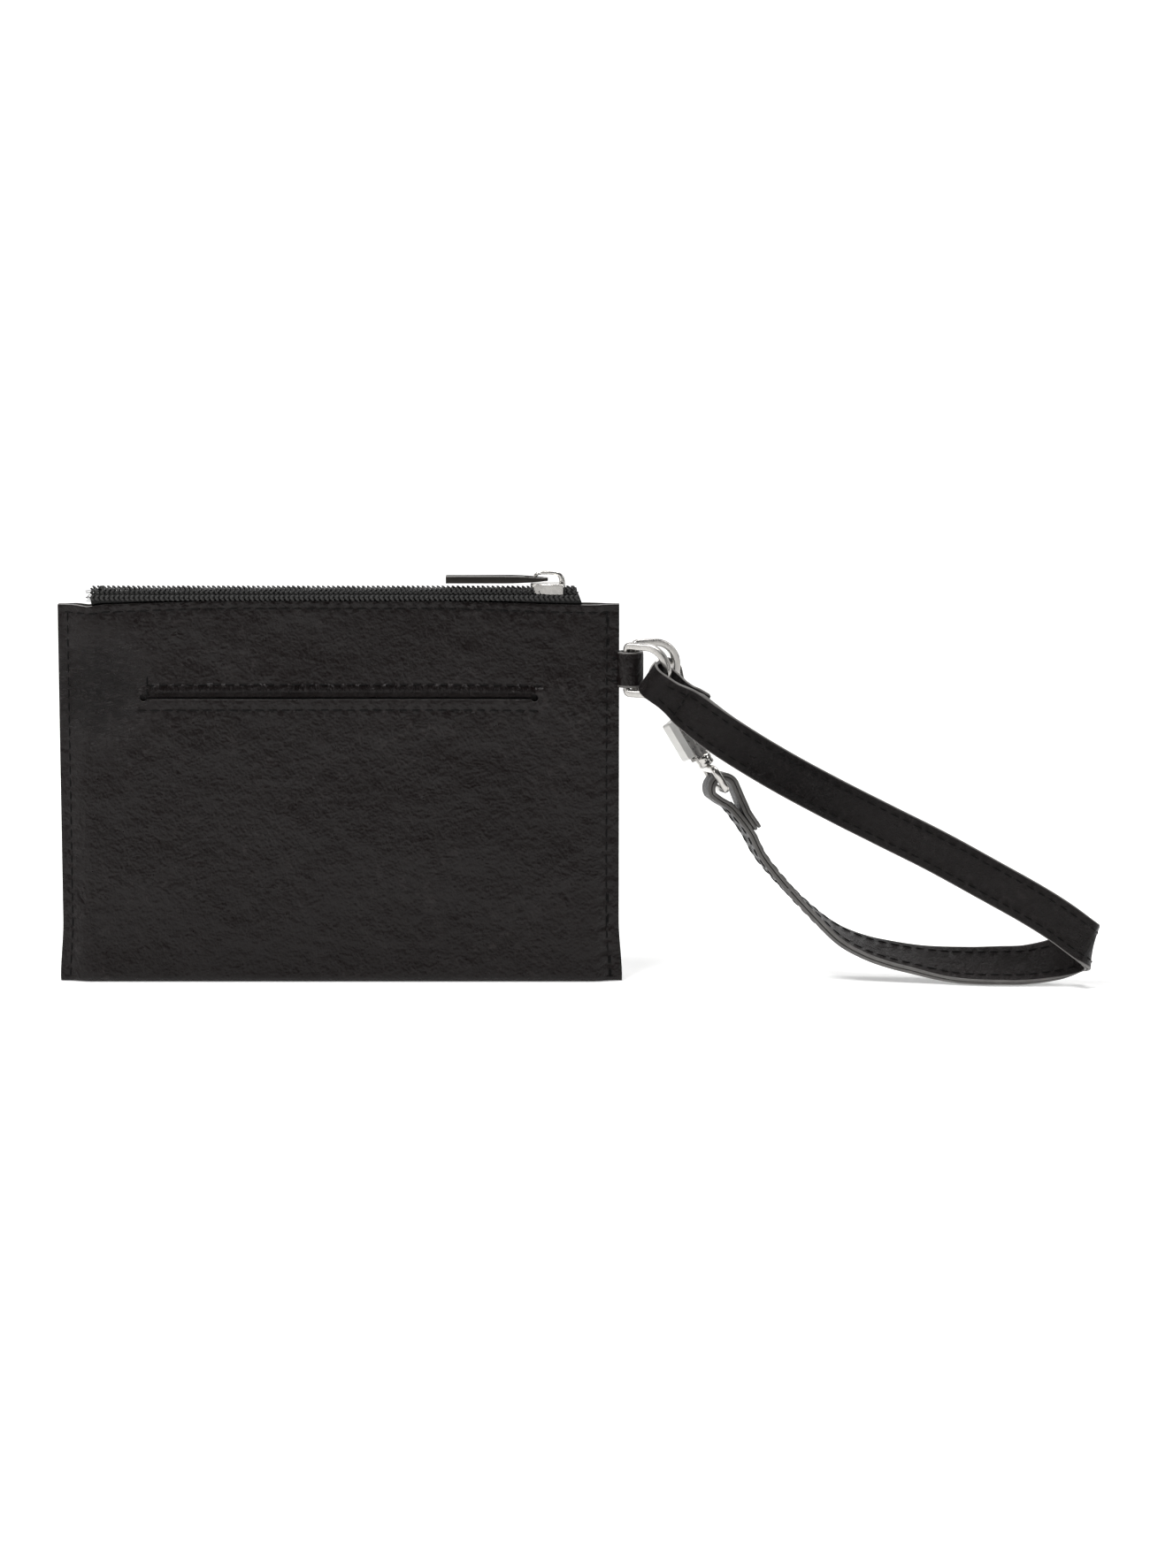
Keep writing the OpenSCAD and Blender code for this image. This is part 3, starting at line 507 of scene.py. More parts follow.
def joined(name, things):
    made = bmesh.new()
    finishes = []
    for thing in things:
        start = len(made.faces)
        made.from_mesh(thing.data)
        made.faces.ensure_lookup_table()
        for face in made.faces[start:]:
            finish = thing.data.materials[face.material_index]
            if finish not in finishes:
                finishes.append(finish)
            face.material_index = finishes.index(finish)
        bpy.data.objects.remove(thing)
    mesh = bpy.data.meshes.new(name)
    made.to_mesh(mesh)
    made.free()
    for finish in finishes:
        mesh.materials.append(finish)
    whole = bpy.data.objects.new(name, mesh)
    scene.collection.objects.link(whole)
    return whole

thread = Finish("bonded_thread_black", (0.003, 0.003, 0.003), 0.7)
thread.shade(thread.noise(900, 3.0), (0.0018, 0.0017, 0.0016), (0.005, 0.0047, 0.0045))
thread.shader.inputs["Specular IOR Level"].default_value = 0.12
thread.raise_by(thread.cells(5200, thread.stretched((1, 1, 0.35))), 0.00006, 0.8)
row_tree = stitch_tree()

def on_panel(x, z, side, proud=0.06):
    return panel_point(x, z, side) + Vector((0, side * proud, 0))

top_lines = [[on_panel(x, top_row, side) for x in spaced(-70.6, 69.8, 1.4)] for side in (-1, 1)]
place_piece(grown("top_seam_thread", top_lines, row_tree, Pitch=0.00335, Length=0.0026, Thickness=0.00046, Seed=3,
                  Thread=thread.made), "pouch", "thread", "top_stitching")
side_lines = []
for side in (-1, 1):
    side_lines += [[on_panel(x, z, side) for z in spaced(2.6, 97.2, 1.4)] for x in (left_row, right_row)]
    side_lines += [[on_panel(right_row + 0.42, z, side) for z in spaced(low, high, 1)]
                   for low, high in ((90.8, 96), (17, 22.5), (2.4, 6.0))]
place_piece(grown("side_seam_thread", side_lines, row_tree, Pitch=0.00335, Length=0.0026, Thickness=0.00046, Seed=5,
                  Thread=thread.made), "pouch", "thread", "side_stitching")
slit_lines = [[on_panel(x, slit_over, -1) for x in spaced(-49.5, 52.1, 1.4)],
              [on_panel(x, slit_under, -1) for x in spaced(-51.6, 50.9, 1.4)],
              [on_panel(-50.2, z, -1, 0.1) for z in spaced(77.2, 80.4, 0.8)]]
place_piece(grown("slip_pocket_thread", slit_lines, row_tree, Pitch=0.0034, Length=0.0025, Thickness=0.00046, Seed=9,
                  Thread=thread.made), "pouch", "thread", "slip_pocket_stitching")

# ---- Zip tapes and coil ----
# Two black knitted tapes sewn inside the top edges, with a nylon coil sewn along each. The tapes
# are cut off raw at the left, where loose threads stand out, and slope down at the right.
tape = Finish("zip_tape_knit", (0.012, 0.012, 0.012), 0.85)
tape_cross = tape.nodes.new("ShaderNodeSeparateXYZ")
tape.links.new(tape.place, tape_cross.inputs[0])
rib_up = tape.calc("SINE", tape.calc("MULTIPLY", tape.calc("ADD", tape_cross.outputs[0], tape_cross.outputs[2]), 9500.0))
rib_down = tape.calc("SINE", tape.calc("MULTIPLY", tape.calc("SUBTRACT", tape_cross.outputs[0], tape_cross.outputs[2]), 9500.0))
knit = tape.calc("MULTIPLY", rib_up, rib_down)
tape.raise_by(knit, 0.00014, 0.8)
tape.raise_by(tape.noise(4200, 4.0), 0.00006, 0.5)
# The tape's colour follows the knit height: darker in the hollows between loops, a painted shade, and lighter on the
# raised loops, a painted highlight.
tape.shade(tape.range(knit, -1.0, 1.0, 0.0, 1.0), (0.006, 0.006, 0.006), (0.02, 0.0195, 0.019))
tape.shader.inputs["Specular IOR Level"].default_value = 0.2

def loft(rings, closed_path=False, caps=True):
    count, around = len(rings), len(rings[0])
    faces = [(i * around + k, i * around + (k + 1) % around, ((i + 1) % count) * around + (k + 1) % around,
              ((i + 1) % count) * around + k)
             for i in range(count if closed_path else count - 1) for k in range(around)]
    if caps and not closed_path:
        faces += [tuple(range(around)), tuple((count - 1) * around + k for k in range(around))]
    return [p for ring in rings for p in ring], faces

def tape_end(z):
    return 63.5 - 0.42 * (z - 101)

def tape_half(name, side, node):
    rings = []
    for x in spaced(-64.5, 62.0, 1.5) + [62.6]:
        rise = edge_rise(x)
        profile = [(1.85, 88.5), (1.85, 100.6 + rise), (3.05, 101.15 + rise), (3.7, 101.6 + rise), (3.78, 102.4 + 0.3 * rise),
                   (3.7, 103.0), (3.45, 103.08), (0.6, 103.1), (0.6, 102.62), (3.2, 102.6), (3.28, 102.2 + 0.5 * rise),
                   (3.1, 101.95 + 0.8 * rise), (1.37, 100.95 + rise), (1.35, 88.5)]
        ring = []
        for y, z in profile:
            along = x
            if x > 62.5:
                along = tape_end(z)
            if x < -64.4:
                along += 0.35 * noise.noise(Vector((y * 2, z * 1.7, side)))
            ring.append((along, side * y, z))
        rings.append(ring)
    place_piece(piece(name, *loft(rings), [tape.made]), "pouch", "zip_tape", node)

tape_half("front_zip_tape", -1, "zip_tape_front")
tape_half("back_zip_tape", 1, "zip_tape_back")

def tube(path, radius, sides=8):
    path = [Vector(p) for p in path]
    rings, up = [], Vector((0.31, 0.52, 0.79))
    for i, p in enumerate(path):
        way = (path[min(i + 1, len(path) - 1)] - path[max(i - 1, 0)]).normalized()
        up = (up - up.dot(way) * way).normalized()
        side = way.cross(up)
        rings.append([p + radius * (math.cos(2 * math.pi * k / sides) * up + math.sin(2 * math.pi * k / sides) * side)
                      for k in range(sides)])
    return rings

def coil_tree():
    tree, make, join, given = open_tree("coil_turns", "Nylon", Pitch=0.0012, Depth=0.0019, Height=0.0011, Wire=0.00052,
                                        Skew=0.3)
    loop, size, shaped = make("GeometryNodeCurvePrimitiveCircle"), make("ShaderNodeCombineXYZ"), make("GeometryNodeTransform")
    loop.inputs["Resolution"].default_value, loop.inputs["Radius"].default_value = 10, 0.5
    join(given.outputs["Depth"], size.inputs[0])
    join(given.outputs["Height"], size.inputs[1])
    size.inputs[2].default_value = 1.0
    join(loop.outputs["Curve"], shaped.inputs["Geometry"])
    join(size.outputs[0], shaped.inputs["Scale"])
    wire, halved, swept = make("GeometryNodeCurvePrimitiveCircle"), make("ShaderNodeMath"), make("GeometryNodeCurveToMesh")
    wire.inputs["Resolution"].default_value = 6
    halved.operation = "MULTIPLY"
    halved.inputs[1].default_value = 0.5
    join(given.outputs["Wire"], halved.inputs[0])
    join(halved.outputs[0], wire.inputs["Radius"])
    join(shaped.outputs[0], swept.inputs["Curve"])
    join(wire.outputs["Curve"], swept.inputs["Profile Curve"])
    smooth, euler = make("GeometryNodeSetShadeSmooth"), make("ShaderNodeCombineXYZ")
    join(swept.outputs[0], smooth.inputs["Geometry"])
    euler.inputs[0].default_value = math.pi / 2
    add = make("ShaderNodeMath")
    add.inputs[1].default_value = math.pi / 2
    join(given.outputs["Skew"], add.inputs[0])
    join(add.outputs[0], euler.inputs[2])
    spread = make("GeometryNodeInstanceOnPoints")
    join(points_along(make, join, given), spread.inputs["Points"])
    join(smooth.outputs["Geometry"], spread.inputs["Instance"])
    join(euler.outputs[0], spread.inputs["Rotation"])
    return close_tree(tree, spread.outputs[0], given.outputs["Nylon"])

nylon = Finish("coil_nylon", (0.02, 0.02, 0.021), 0.32)
nylon.shade(nylon.noise(800, 3.0), (0.014, 0.014, 0.015), (0.04, 0.04, 0.042))
nylon.rough(nylon.range(nylon.noise(2400), 0.3, 0.7, 0.25, 0.45))
turn_tree = coil_tree()
knit_thread = Finish("coil_cover_thread", (0.05, 0.05, 0.052), 0.6)
knit_thread.shade(knit_thread.noise(1300, 3.0), (0.012, 0.0118, 0.0115), (0.04, 0.039, 0.038))
knit_thread.raise_by(knit_thread.noise(6000, 3.0), 0.00005, 0.6)
knit_thread.shader.inputs["Specular IOR Level"].default_value = 0.3
for name, side, shift, node in (("front_coil", -1, 0.0, "zip_coil_front"), ("back_coil", 1, 0.6, "zip_coil_back")):
    turns_made = grown(name + "_turns", [[(-63.4 + shift, side * 1.55, 104.02), (61.4 + shift, side * 1.55, 104.02)]],
                       turn_tree, Pitch=0.0012, Depth=0.00165, Height=0.00105, Wire=0.0005, Skew=0.25 * side, Nylon=nylon.made)
    covers = []
    for y, z, slant, seed in ((3.86, 102.2, 0.7, 1), (3.84, 102.8, -0.7, 2), (2.62, 103.5, 0.7, 3), (2.6, 104.05, -0.7, 4),
                              (2.45, 104.55, 0.7, 5)):
        covers.append(grown(f"{name}_cover_{seed}", [[(-64.2, side * y, z), (tape_end(z) - 0.5, side * y, z)]], row_tree,
                            Pitch=0.0013, Length=0.00145, Thickness=0.0007, Slant=slant, Seed=seed, Thread=knit_thread.made))
    place_piece(joined(name, [turns_made] + covers), "pouch", "zip_coil", node)

bars = []
for x in (-62.4, -62.05, -61.7, 61.0, 61.3, 61.6):
    path = [(x, 2.75 * t, 104.98 - 0.35 * abs(t) ** 4) for t in spaced(-1, 1, 0.2)]
    bars.append(piece("bar", *loft(tube(path, 0.2)), [thread.made]))
for i in range(9):
    y, z = (-3.6, -3.3, -2.6)[i % 3], 101.7 + 0.33 * i
    sway = [noise.noise(Vector((i * 3.7, k, 1.0))) for k in range(3)]
    path = [(-64.3 - 2.4 * t * (0.6 + 0.4 * sway[0]), y + 0.5 * sway[1] * t, z + 0.9 * sway[2] * t * t)
            for t in spaced(0, 1, 0.2)]
    bars.append(piece("loose_thread", *loft(tube(path, 0.08, 5)), [knit_thread.made]))
place_piece(joined("zip_bar_tacks", bars), "pouch", "thread", "zip_end_tacks")

# ---- Slider ----
# Die-cast zinc slider with bright nickel plate: an upper and a lower wing joined by a divider post,
# flanges that hold the coil, and an arched bridge, open at its left foot, for the pull.
nickel = Finish("nickel_plate", (0.72, 0.7, 0.67), 0.2, 1.0)
nickel.shade(nickel.noise(260, 4.0), (0.4, 0.385, 0.365), (0.6, 0.585, 0.56))
nickel.rough(nickel.range(nickel.noise(900, 5.0, 0.65), 0.25, 0.75, 0.14, 0.3))
nickel.raise_by(nickel.noise(1.0, 2.0, 0.5, nickel.stretched((900, 7000, 900))), 0.000012, 0.35)
nickel.raise_by(nickel.noise(700, 2.0), 0.00003, 0.25)

def prism(name, outline, low, high, finish, bevel=0.0, segments=2):
    count = len(outline)
    thing = piece(name, [(x, y, low) for x, y in outline] + [(x, y, high) for x, y in outline],
                  [tuple(range(count)), tuple(range(count, 2 * count))]
                  + [(i, (i + 1) % count, count + (i + 1) % count, count + i) for i in range(count)], [finish])
    return rounded(thing, bevel, segments)

def rounded(thing, bevel, segments=3, rim=-1):
    if bevel:
        edge = thing.modifiers.new("edge", "BEVEL")
        edge.material = rim
        edge.limit_method, edge.angle_limit = "ANGLE", math.radians(35)
        edge.width, edge.segments, edge.harden_normals = bevel * 0.001, segments, True
        settle(thing)
    return thing

def squared(half_a, half_b, power, count=20):
    ring = []
    for k in range(count):
        a = 2 * math.pi * (k + 0.5) / count
        c, s = math.cos(a), math.sin(a)
        ring.append((half_a * math.copysign(abs(c) ** (2 / power), c), half_b * math.copysign(abs(s) ** (2 / power), s)))
    return ring

slider_x = 54.9
def wing_outline(half_back, half_front, trim=0.0):
    upper = []
    for u in spaced(-4.7 + trim, 4.7 - trim, 0.45):
        half = half_back + (half_front - half_back) * ease((u + 2.2) / 3.4)
        end = min(u + 4.7 - trim, 4.7 - trim - u)
        half -= 1.3 * (1 - math.sqrt(max(0.0, 1 - (1 - min(1.0, end / 1.3)) ** 2)))
        upper.append((slider_x + u, half))
    upper[-1] = (slider_x + 4.55 - trim, half_front - 1.5)
    upper.append((slider_x + 4.1 - trim, 0.5))
    return upper + [(x, -y) for x, y in reversed(upper)]

body_parts = [prism("upper_wing", wing_outline(2.85, 3.5), 105.02, 106.0, nickel.made, 0.3, 3),
              prism("lower_wing", wing_outline(2.3, 2.85, 0.2), 101.85, 102.42, nickel.made, 0.15),
              prism("post", [(57.8, -0.38), (59.2, -0.3), (59.2, 0.3), (57.8, 0.38)], 101.95, 105.5, nickel.made)]
for side in (-1, 1):
    flange = [(slider_x + u, side * (2.87 + 0.62 * ease((u + 2.2) / 3.4))) for u in spaced(-3.7, 3.9, 0.6)]
    flange += [(x, side * (abs(y) - 0.42)) for x, y in reversed(flange)]
    body_parts.append(prism("flange", flange, 103.24, 105.5, nickel.made, 0.12))
arch = [(51.6, 106.35), (51.35, 107.2), (51.5, 108.0), (52.15, 108.5), (53.2, 108.72), (55, 108.72), (56.8, 108.6),
        (57.9, 108.1), (58.45, 107.2), (58.55, 106.3), (58.55, 105.6)]
arch_fine = []
for i in range(len(arch) - 1):
    arch_fine += [tuple(a + (b - a) * t for a, b in zip(arch[i], arch[i + 1])) for t in (0, 0.5)]
arch_fine.append(arch[-1])
arch_rings = []
for i, (x, z) in enumerate(arch_fine):
    a, b = arch_fine[max(0, i - 1)], arch_fine[min(len(arch_fine) - 1, i + 1)]
    out = Vector((-(b[1] - a[1]), 0, b[0] - a[0])).normalized()
    arch_rings.append([Vector((x, 0, z)) + m * out + Vector((0, n, 0))
                       for m, n in squared(0.46 + 0.32 * ease((i - 11) / 7), 0.8, 3.2, 16)])
body_parts.append(piece("bridge", *loft(arch_rings), [nickel.made]))
place_piece(joined("slider_body", body_parts), "slider", "nickel", "zip_slider")

# ---- Pull ----
# A flat bullet-shaped bar of dark plated zinc with bright rims, partly worn plating and partly a painted highlight,
# cut square at its free end. Its eye hooks round the open foot of the slider's bridge, and a round cross bar closes the
# eye.
dark_plate = Finish("dark_nickel_plate", (0.07, 0.064, 0.058), 0.12, 1.0)
dark_plate.shade(dark_plate.noise(200, 3.0), (0.018, 0.0165, 0.0155), (0.04, 0.037, 0.034))
dark_plate.shader.inputs["Specular Tint"].default_value = (0.3, 0.29, 0.28, 1)
dark_plate.rough(dark_plate.range(dark_plate.noise(700, 5.0, 0.6), 0.25, 0.75, 0.07, 0.2))
dark_plate.raise_by(dark_plate.noise(1.0, 2.0, 0.5, dark_plate.stretched((400, 5200, 1500))), 0.00001, 0.4)
# The rims' bright metal is partly worn plating and partly a painted highlight.
rim_wear_and_highlight = Finish("rim_wear_and_painted_highlight", (0.72, 0.7, 0.67), 0.16, 0.5)
rim_wear_and_highlight.rough(rim_wear_and_highlight.range(rim_wear_and_highlight.noise(1100, 4.0), 0.25, 0.75, 0.1, 0.24))
rim_wear_and_highlight.raise_by(rim_wear_and_highlight.noise(2000, 3.0), 0.00001, 0.4)

pull_tip, pull_end, pull_z = 54.85, 28.1, 107.0
def pull_thick(x):
    return 0.9 - 0.5 * min(1.0, max(0.0, (x - 43.5) / 10.5)) ** 1.8
def pull_half(x):
    far = min(1.0, max(0.0, (x - 45.2) / (pull_tip - 45.2)))
    return 2.4 * (1 - far ** 3) ** (1 / 3) if far < 1 else 0.0
outer_x = spaced(pull_end, 45.2, 1.4) + [pull_tip - (pull_tip - 45.2) * (1 - t) ** 2 for t in spaced(0, 1, 0.06)[1:]]
outline = [(x, pull_half(x)) for x in outer_x]
outline = outline + [(x, -y) for x, y in reversed(outline[:-1])]
hole = []
for x, y in outline:
    hx = 48.6 + (x - pull_end) * (53.62 - 48.6) / (pull_tip - pull_end)
    hy = min(1.12, 0.62 + 0.9 * (hx - 48.6), 0.7 + 0.9 * (53.62 - hx))
    hole.append((hx, math.copysign(hy, y) if x < pull_tip - 0.01 else 0.0))
hole[0], hole[-1] = (48.6, 0.5), (48.6, -0.5)
count = len(outline)
points = [(x, y, pull_z + side * pull_thick(x)) for line in (outline, hole) for side in (-1, 1) for x, y in line]
faces = []
for i in range(count):
    j = (i + 1) % count
    faces += [(i, j, count + j, count + i), (2 * count + i, 3 * count + i, 3 * count + j, 2 * count + j),
              (count + i, count + j, 3 * count + j, 3 * count + i), (i, 2 * count + i, 2 * count + j, j)]
plate = piece("pull_plate", points, faces, [dark_plate.made, rim_wear_and_highlight.made])
# The bevel faces take the bright rim metal: a painted highlight along the rims, partly wear.
rounded(plate, 0.26, 3, 1)
pin = piece("pull_pin", *loft(tube([(54.3, y, 107) for y in spaced(-1.35, 1.35, 0.3)], 0.42, 16)), [dark_plate.made])
place_piece(joined("pull_bar", [plate, pin]), "pull", "dark_nickel", "zip_pull")

# ---- Side tab ----
# A strip of the pouch's leather looped through both D-rings and sewn into the right seam, with a
# short box of thread on each side. It is smooth and tight round the rings' bars.
tab_leather = Finish("tab_leather_black", (0.015, 0.013, 0.012), 0.4)
leather_grain(tab_leather, 0.95)
tab_x, tab_z = 76.35, 83.3
tab_path = [(x, -0.62) for x in spaced(68.8, 73.2, 0.8)]
tab_path += [(tab_x + 3.03 * math.cos(math.radians(a)), 3.03 * math.sin(math.radians(a))) for a in spaced(-157, 157, 9)]
tab_path += [(x, 0.62) for x in spaced(73.2, 68.8, 0.8)]
tab_rings = []
for i, (x, y) in enumerate(tab_path):
    a, b = tab_path[max(0, i - 1)], tab_path[min(len(tab_path) - 1, i + 1)]
    out = Vector((b[1] - a[1], -(b[0] - a[0]), 0)).normalized()
    tab_rings.append([Vector((x, y, tab_z)) + m * out + Vector((0, 0, n)) for m, n in squared(0.52, 4.68, 9, 28)])
tab_points, tab_faces = loft(tab_rings)
tab_groups = [0] * len(tab_faces)
for f in range(len(tab_faces) - 2):
    across = squared(0.52, 4.68, 9, 28)[f % 28][1]
    if abs(across) > 4.3:
        tab_groups[f] = 1
place_piece(piece("side_tab_loop", tab_points, tab_faces, [tab_leather.made, edge_paint.made], groups=tab_groups),
            "pouch", "leather", "side_tab")
tab_lines = [[on_panel(72.2, z, side, 0.12) for z in (tab_z - 3, tab_z, tab_z + 3)] for side in (-1, 1)]
place_piece(grown("side_tab_thread", tab_lines, row_tree, Pitch=0.003, Length=0.0019, Thickness=0.00044, Slant=math.pi / 2,
                  Seed=11, Thread=thread.made), "pouch", "thread", "tab_stitching")

# ---- D-rings ----
# Two cast D-rings with satin nickel plate: a round bar inside the tab and a flat bow with eased
# edges. The front one carries the strap's sewn end, the back one carries the snap hook.
satin = Finish("nickel_satin", (0.66, 0.645, 0.62), 0.3, 1.0)
satin.shade(satin.noise(240, 4.0), (0.36, 0.345, 0.33), (0.56, 0.545, 0.52))
satin.rough(satin.range(satin.noise(800, 5.0, 0.65), 0.25, 0.75, 0.2, 0.38))
satin.raise_by(satin.noise(1600, 4.0, 0.6), 0.00002, 0.5)

def d_ring(name, place, yaw, body, node):
    path = [(0.0, z, 0.0) for z in spaced(4.6, -4.6, 1.15)]
    path += [(1.25 - 1.25 * math.cos(a), -5.0 - 1.25 * math.sin(a), ease(a / 1.3)) for a in spaced(0.3, 1.57, 0.32)]
    path += [(x, -6.25, 1.0) for x in spaced(2.2, 5.2, 1.0)]
    path += [(5.95 + 6.25 * math.cos(a), 6.25 * math.sin(a), 1.0) for a in spaced(-math.pi / 2, math.pi / 2, 0.131)]
    path += [(x, 6.25, 1.0) for x in spaced(5.2, 2.2, 1.0)]
    path += [(1.25 - 1.25 * math.cos(a), 5.0 + 1.25 * math.sin(a), ease(a / 1.3)) for a in spaced(1.57, 0.3, 0.32)]
    turn = Matrix.Translation(place) @ Matrix.Rotation(math.radians(yaw), 4, "Z")
    rings = []
    for i, (x, z, flat) in enumerate(path):
        a, b = path[i - 1], path[(i + 1) % len(path)]
        out = Vector((-(b[1] - a[1]), 0, b[0] - a[0])).normalized()
        power = 2.0 + 3.2 * flat
        rings.append([turn @ (Vector((x, 0, z)) + m * out + Vector((0, n, 0)))
                      for m, n in squared(0.88 + 0.1 * flat, 0.88, power, 20)])
    ring = piece(name, *loft(rings, closed_path=True), [satin.made])
    place_piece(ring, body, "nickel", node)

ring_front = Vector((75.40, -0.95, 83.3))
ring_back = Vector((77.30, 0.95, 83.7))
d_ring("front_d_ring", ring_front, -30, "strap_ring", "strap_d_ring")
d_ring("back_d_ring", ring_back, 22, "hook_ring", "hook_d_ring")

# ---- Strap ----
# Two strips of black leather sewn back to back, with painted edges: a grained face and a smoother
# backing. The face alone folds round the front D-ring, both fold round the hook's swivel eye.
def unit(v):
    return v.normalized()

bow_c = ring_front + 5.95 * Vector((math.cos(math.radians(30)), -math.sin(math.radians(30)), 0))
def in_ring(a):
    a = math.radians(a)
    return Vector((math.cos(a) * math.cos(math.radians(30)), -math.cos(a) * math.sin(math.radians(30)), math.sin(a)))

fold_a_r, fold_b_r, ply = 2.6, 2.25, 1.05
wide_a = in_ring(90 - 36)
leave_a = Vector((0.77, -0.09, -0.64))
dir_a = unit(leave_a - leave_a.dot(wide_a) * wide_a)
out_a = dir_a.cross(wide_a)
fold_a = bow_c + 6.25 * in_ring(-36) - 1.6 * dir_a
def at_a(s, off):
    return (fold_a + s * dir_a + off * out_a, wide_a)

hook_base = ring_back + Vector((18.2, 1.2, -24))
lean, eye_turn, limb = math.radians(30.5), math.radians(11), math.radians(29)
fold_b = hook_base + 9.8 * Vector((math.sin(lean), 0, -math.cos(lean)))
wide_b = Vector((-math.sin(eye_turn) * math.cos(lean), math.cos(eye_turn), -math.sin(eye_turn) * math.sin(lean)))
dir_b = Vector((math.sin(limb), 0, -math.cos(limb)))
out_b = unit((-dir_b).cross(wide_b))
turn_b = fold_b_r + ply
def at_b(s, off):
    return (fold_b + s * dir_b + off * out_b, wide_b)

bend_axis = unit(Vector((0.19, 0, 0.98)))
bend_out = Vector((bend_axis.z, 0, -bend_axis.x))
bend_c = Vector((120.3, -9.3, 14.6))
drop = math.radians(27)
def bend_turn(a):
    return math.sin(math.radians(a)) * bend_out - math.cos(math.radians(a)) * Vector((0, 1, 0))

strap_run = [((26.8, -10.6, 67.4), (0.54, -0.06, 0.84)), ((40.8, -11.2, 58.7), (0.51, 0, 0.86)),
             ((54.8, -11.8, 51.1), (0.48, 0, 0.88)), ((68.8, -12.3, 44), (0.46, 0, 0.89)),
             ((82.8, -12.8, 37), (0.47, 0, 0.88)), ((96.8, -13.2, 29.3), (0.5, 0, 0.87)),
             ((107.5, -13.4, 23.3), (0.5, 0, 0.87)), ((115, -13.5, 18.6), (0.5, 0, 0.87))]
strap_run += [(bend_c + 4 * bend_turn(a) - 4 * math.tan(drop) * math.radians(a) * bend_axis,
               math.sin(drop) * bend_turn(a + 90) + math.cos(drop) * bend_axis) for a in range(15, 166, 30)]
strap_run += [((114.9, -5, 6.6), (-0.15, 0.52, 0.84)), ((107.5, -4.9, 5.2), (0, 0.66, 0.75)),
              ((100.5, -4.9, 5), (0, 0.69, 0.72)), ((93.3, -4, 4.8), (0, 0.75, 0.66)),
              ((86.3, -2, 4.9), (0, 0.83, 0.56)), ((79.3, -0.4, 5.6), (0, 0.9, 0.43)),
              ((72.3, 0.6, 6.8), (0, 0.93, 0.37)), ((65.3, 1.3, 8.7), (0, 0.96, 0.28)),
              ((58.3, 1.9, 12), (0, 0.985, 0.17)), ((51.3, 2.2, 17.8), (-0.02, 1, 0)),
              ((44.3, 2.3, 24.9), (-0.06, 1, -0.08)), ((37.7, 2.3, 32.8), (-0.12, 0.985, -0.1))]
knots = [at_a(0, fold_a_r), at_a(5, fold_a_r), at_a(10, fold_a_r)]
knots += [(Vector(p) + Vector((73.5, 0, 0)), Vector(w)) for p, w in strap_run]
knots += [at_b(14, -0.5), at_b(9, 0), at_b(5, 0.8), at_b(2.4, 2.2), at_b(0, turn_b)]

def between(line, i, t):
    a, b, c, d = (line[max(0, min(len(line) - 1, i + k))] for k in (-1, 0, 1, 2))
    return tuple((2 * q + (r - p) * t + (2 * p - 5 * q + 4 * r - s) * t * t + (3 * q - p - 3 * r + s) * t ** 3) / 2
                 for p, q, r, s in zip(a, b, c, d))

def finer(line, steps):
    return [between(line, i, k / steps) for i in range(len(line) - 1) for k in range(steps)] + [line[-1]]

main_line = finer(knots, 8)
arc_a = [at_a(-fold_a_r * math.sin(math.radians(a)), fold_a_r * math.cos(math.radians(a))) for a in range(180, 0, -10)]
arc_b = [at_b(-turn_b * math.sin(math.radians(a)), turn_b * math.cos(math.radians(a))) for a in range(10, 181, 10)]
flap_a = finer([at_a(13.5, fold_a_r - ply - 0.15 - 0.9), at_a(9, fold_a_r - ply - 0.15 - 0.3), at_a(6.4, -0.2),
                at_a(3.4, -fold_a_r + 0.7), arc_a[0]], 5)[:-1]
flap_b = finer([arc_b[-1], at_b(3, -turn_b + 0.3), at_b(6.5, -2 * ply - 0.5), at_b(9, -2 * ply - 0.25),
                at_b(13.5, -2 * ply - 0.65)], 5)[1:]
face_line = flap_a + arc_a + main_line + arc_b + flap_b
backing_line = main_line[16:] + arc_b + flap_b

def half_width(p):
    near = min((p - fold_a).length, (p - fold_b).length)
    return 4.3 + 1.3 * ease((near - 4) / 7)

def frame_at(line, i):
    t = unit(line[min(len(line) - 1, i + 1)][0] - line[max(0, i - 1)][0])
    w = line[i][1]
    w = unit(w - w.dot(t) * t)
    return t, w, t.cross(w)

def ply_piece(name, line, inside, outside, trim, finishes, slot, node):
    middle, half_thick = (inside + outside) / 2, (outside - inside) / 2
    section = squared(1.0, 1.0, 10, 32)
    rings, lengths, run = [], [], 0.0
    for i, (p, _) in enumerate(line):
        t, w, n = frame_at(line, i)
        run += (p - line[i - 1][0]).length if i else 0.0
        lengths.append(run)
        half = half_width(p) - trim
        end = min(i, len(line) - 1 - i)
        squeeze = (0.75, 0.93, 1.0)[min(end, 2)]
        half *= 0.94 if end == 0 else 1
        rings.append([p + w * half * v + n * (middle + u * half_thick * squeeze) for u, v in section])
    points, faces = loft(rings)
    groups = [1 if abs(section[f % 32][1]) > 0.93 and abs(section[(f + 1) % 32][1]) > 0.93 else 0 for f in range(len(faces))]
    groups[-2:] = [1, 1]
    strip = piece(name, points, faces, finishes, groups=groups)
    strip_map = strip.data.uv_layers.new(name="strip")
    for loop in strip.data.loops:
        i, k = divmod(loop.vertex_index, 32)
        strip_map.data[loop.index].uv = (lengths[i] * 0.001, section[k][1] * 0.0056)
    place_piece(strip, "strap", slot, node)

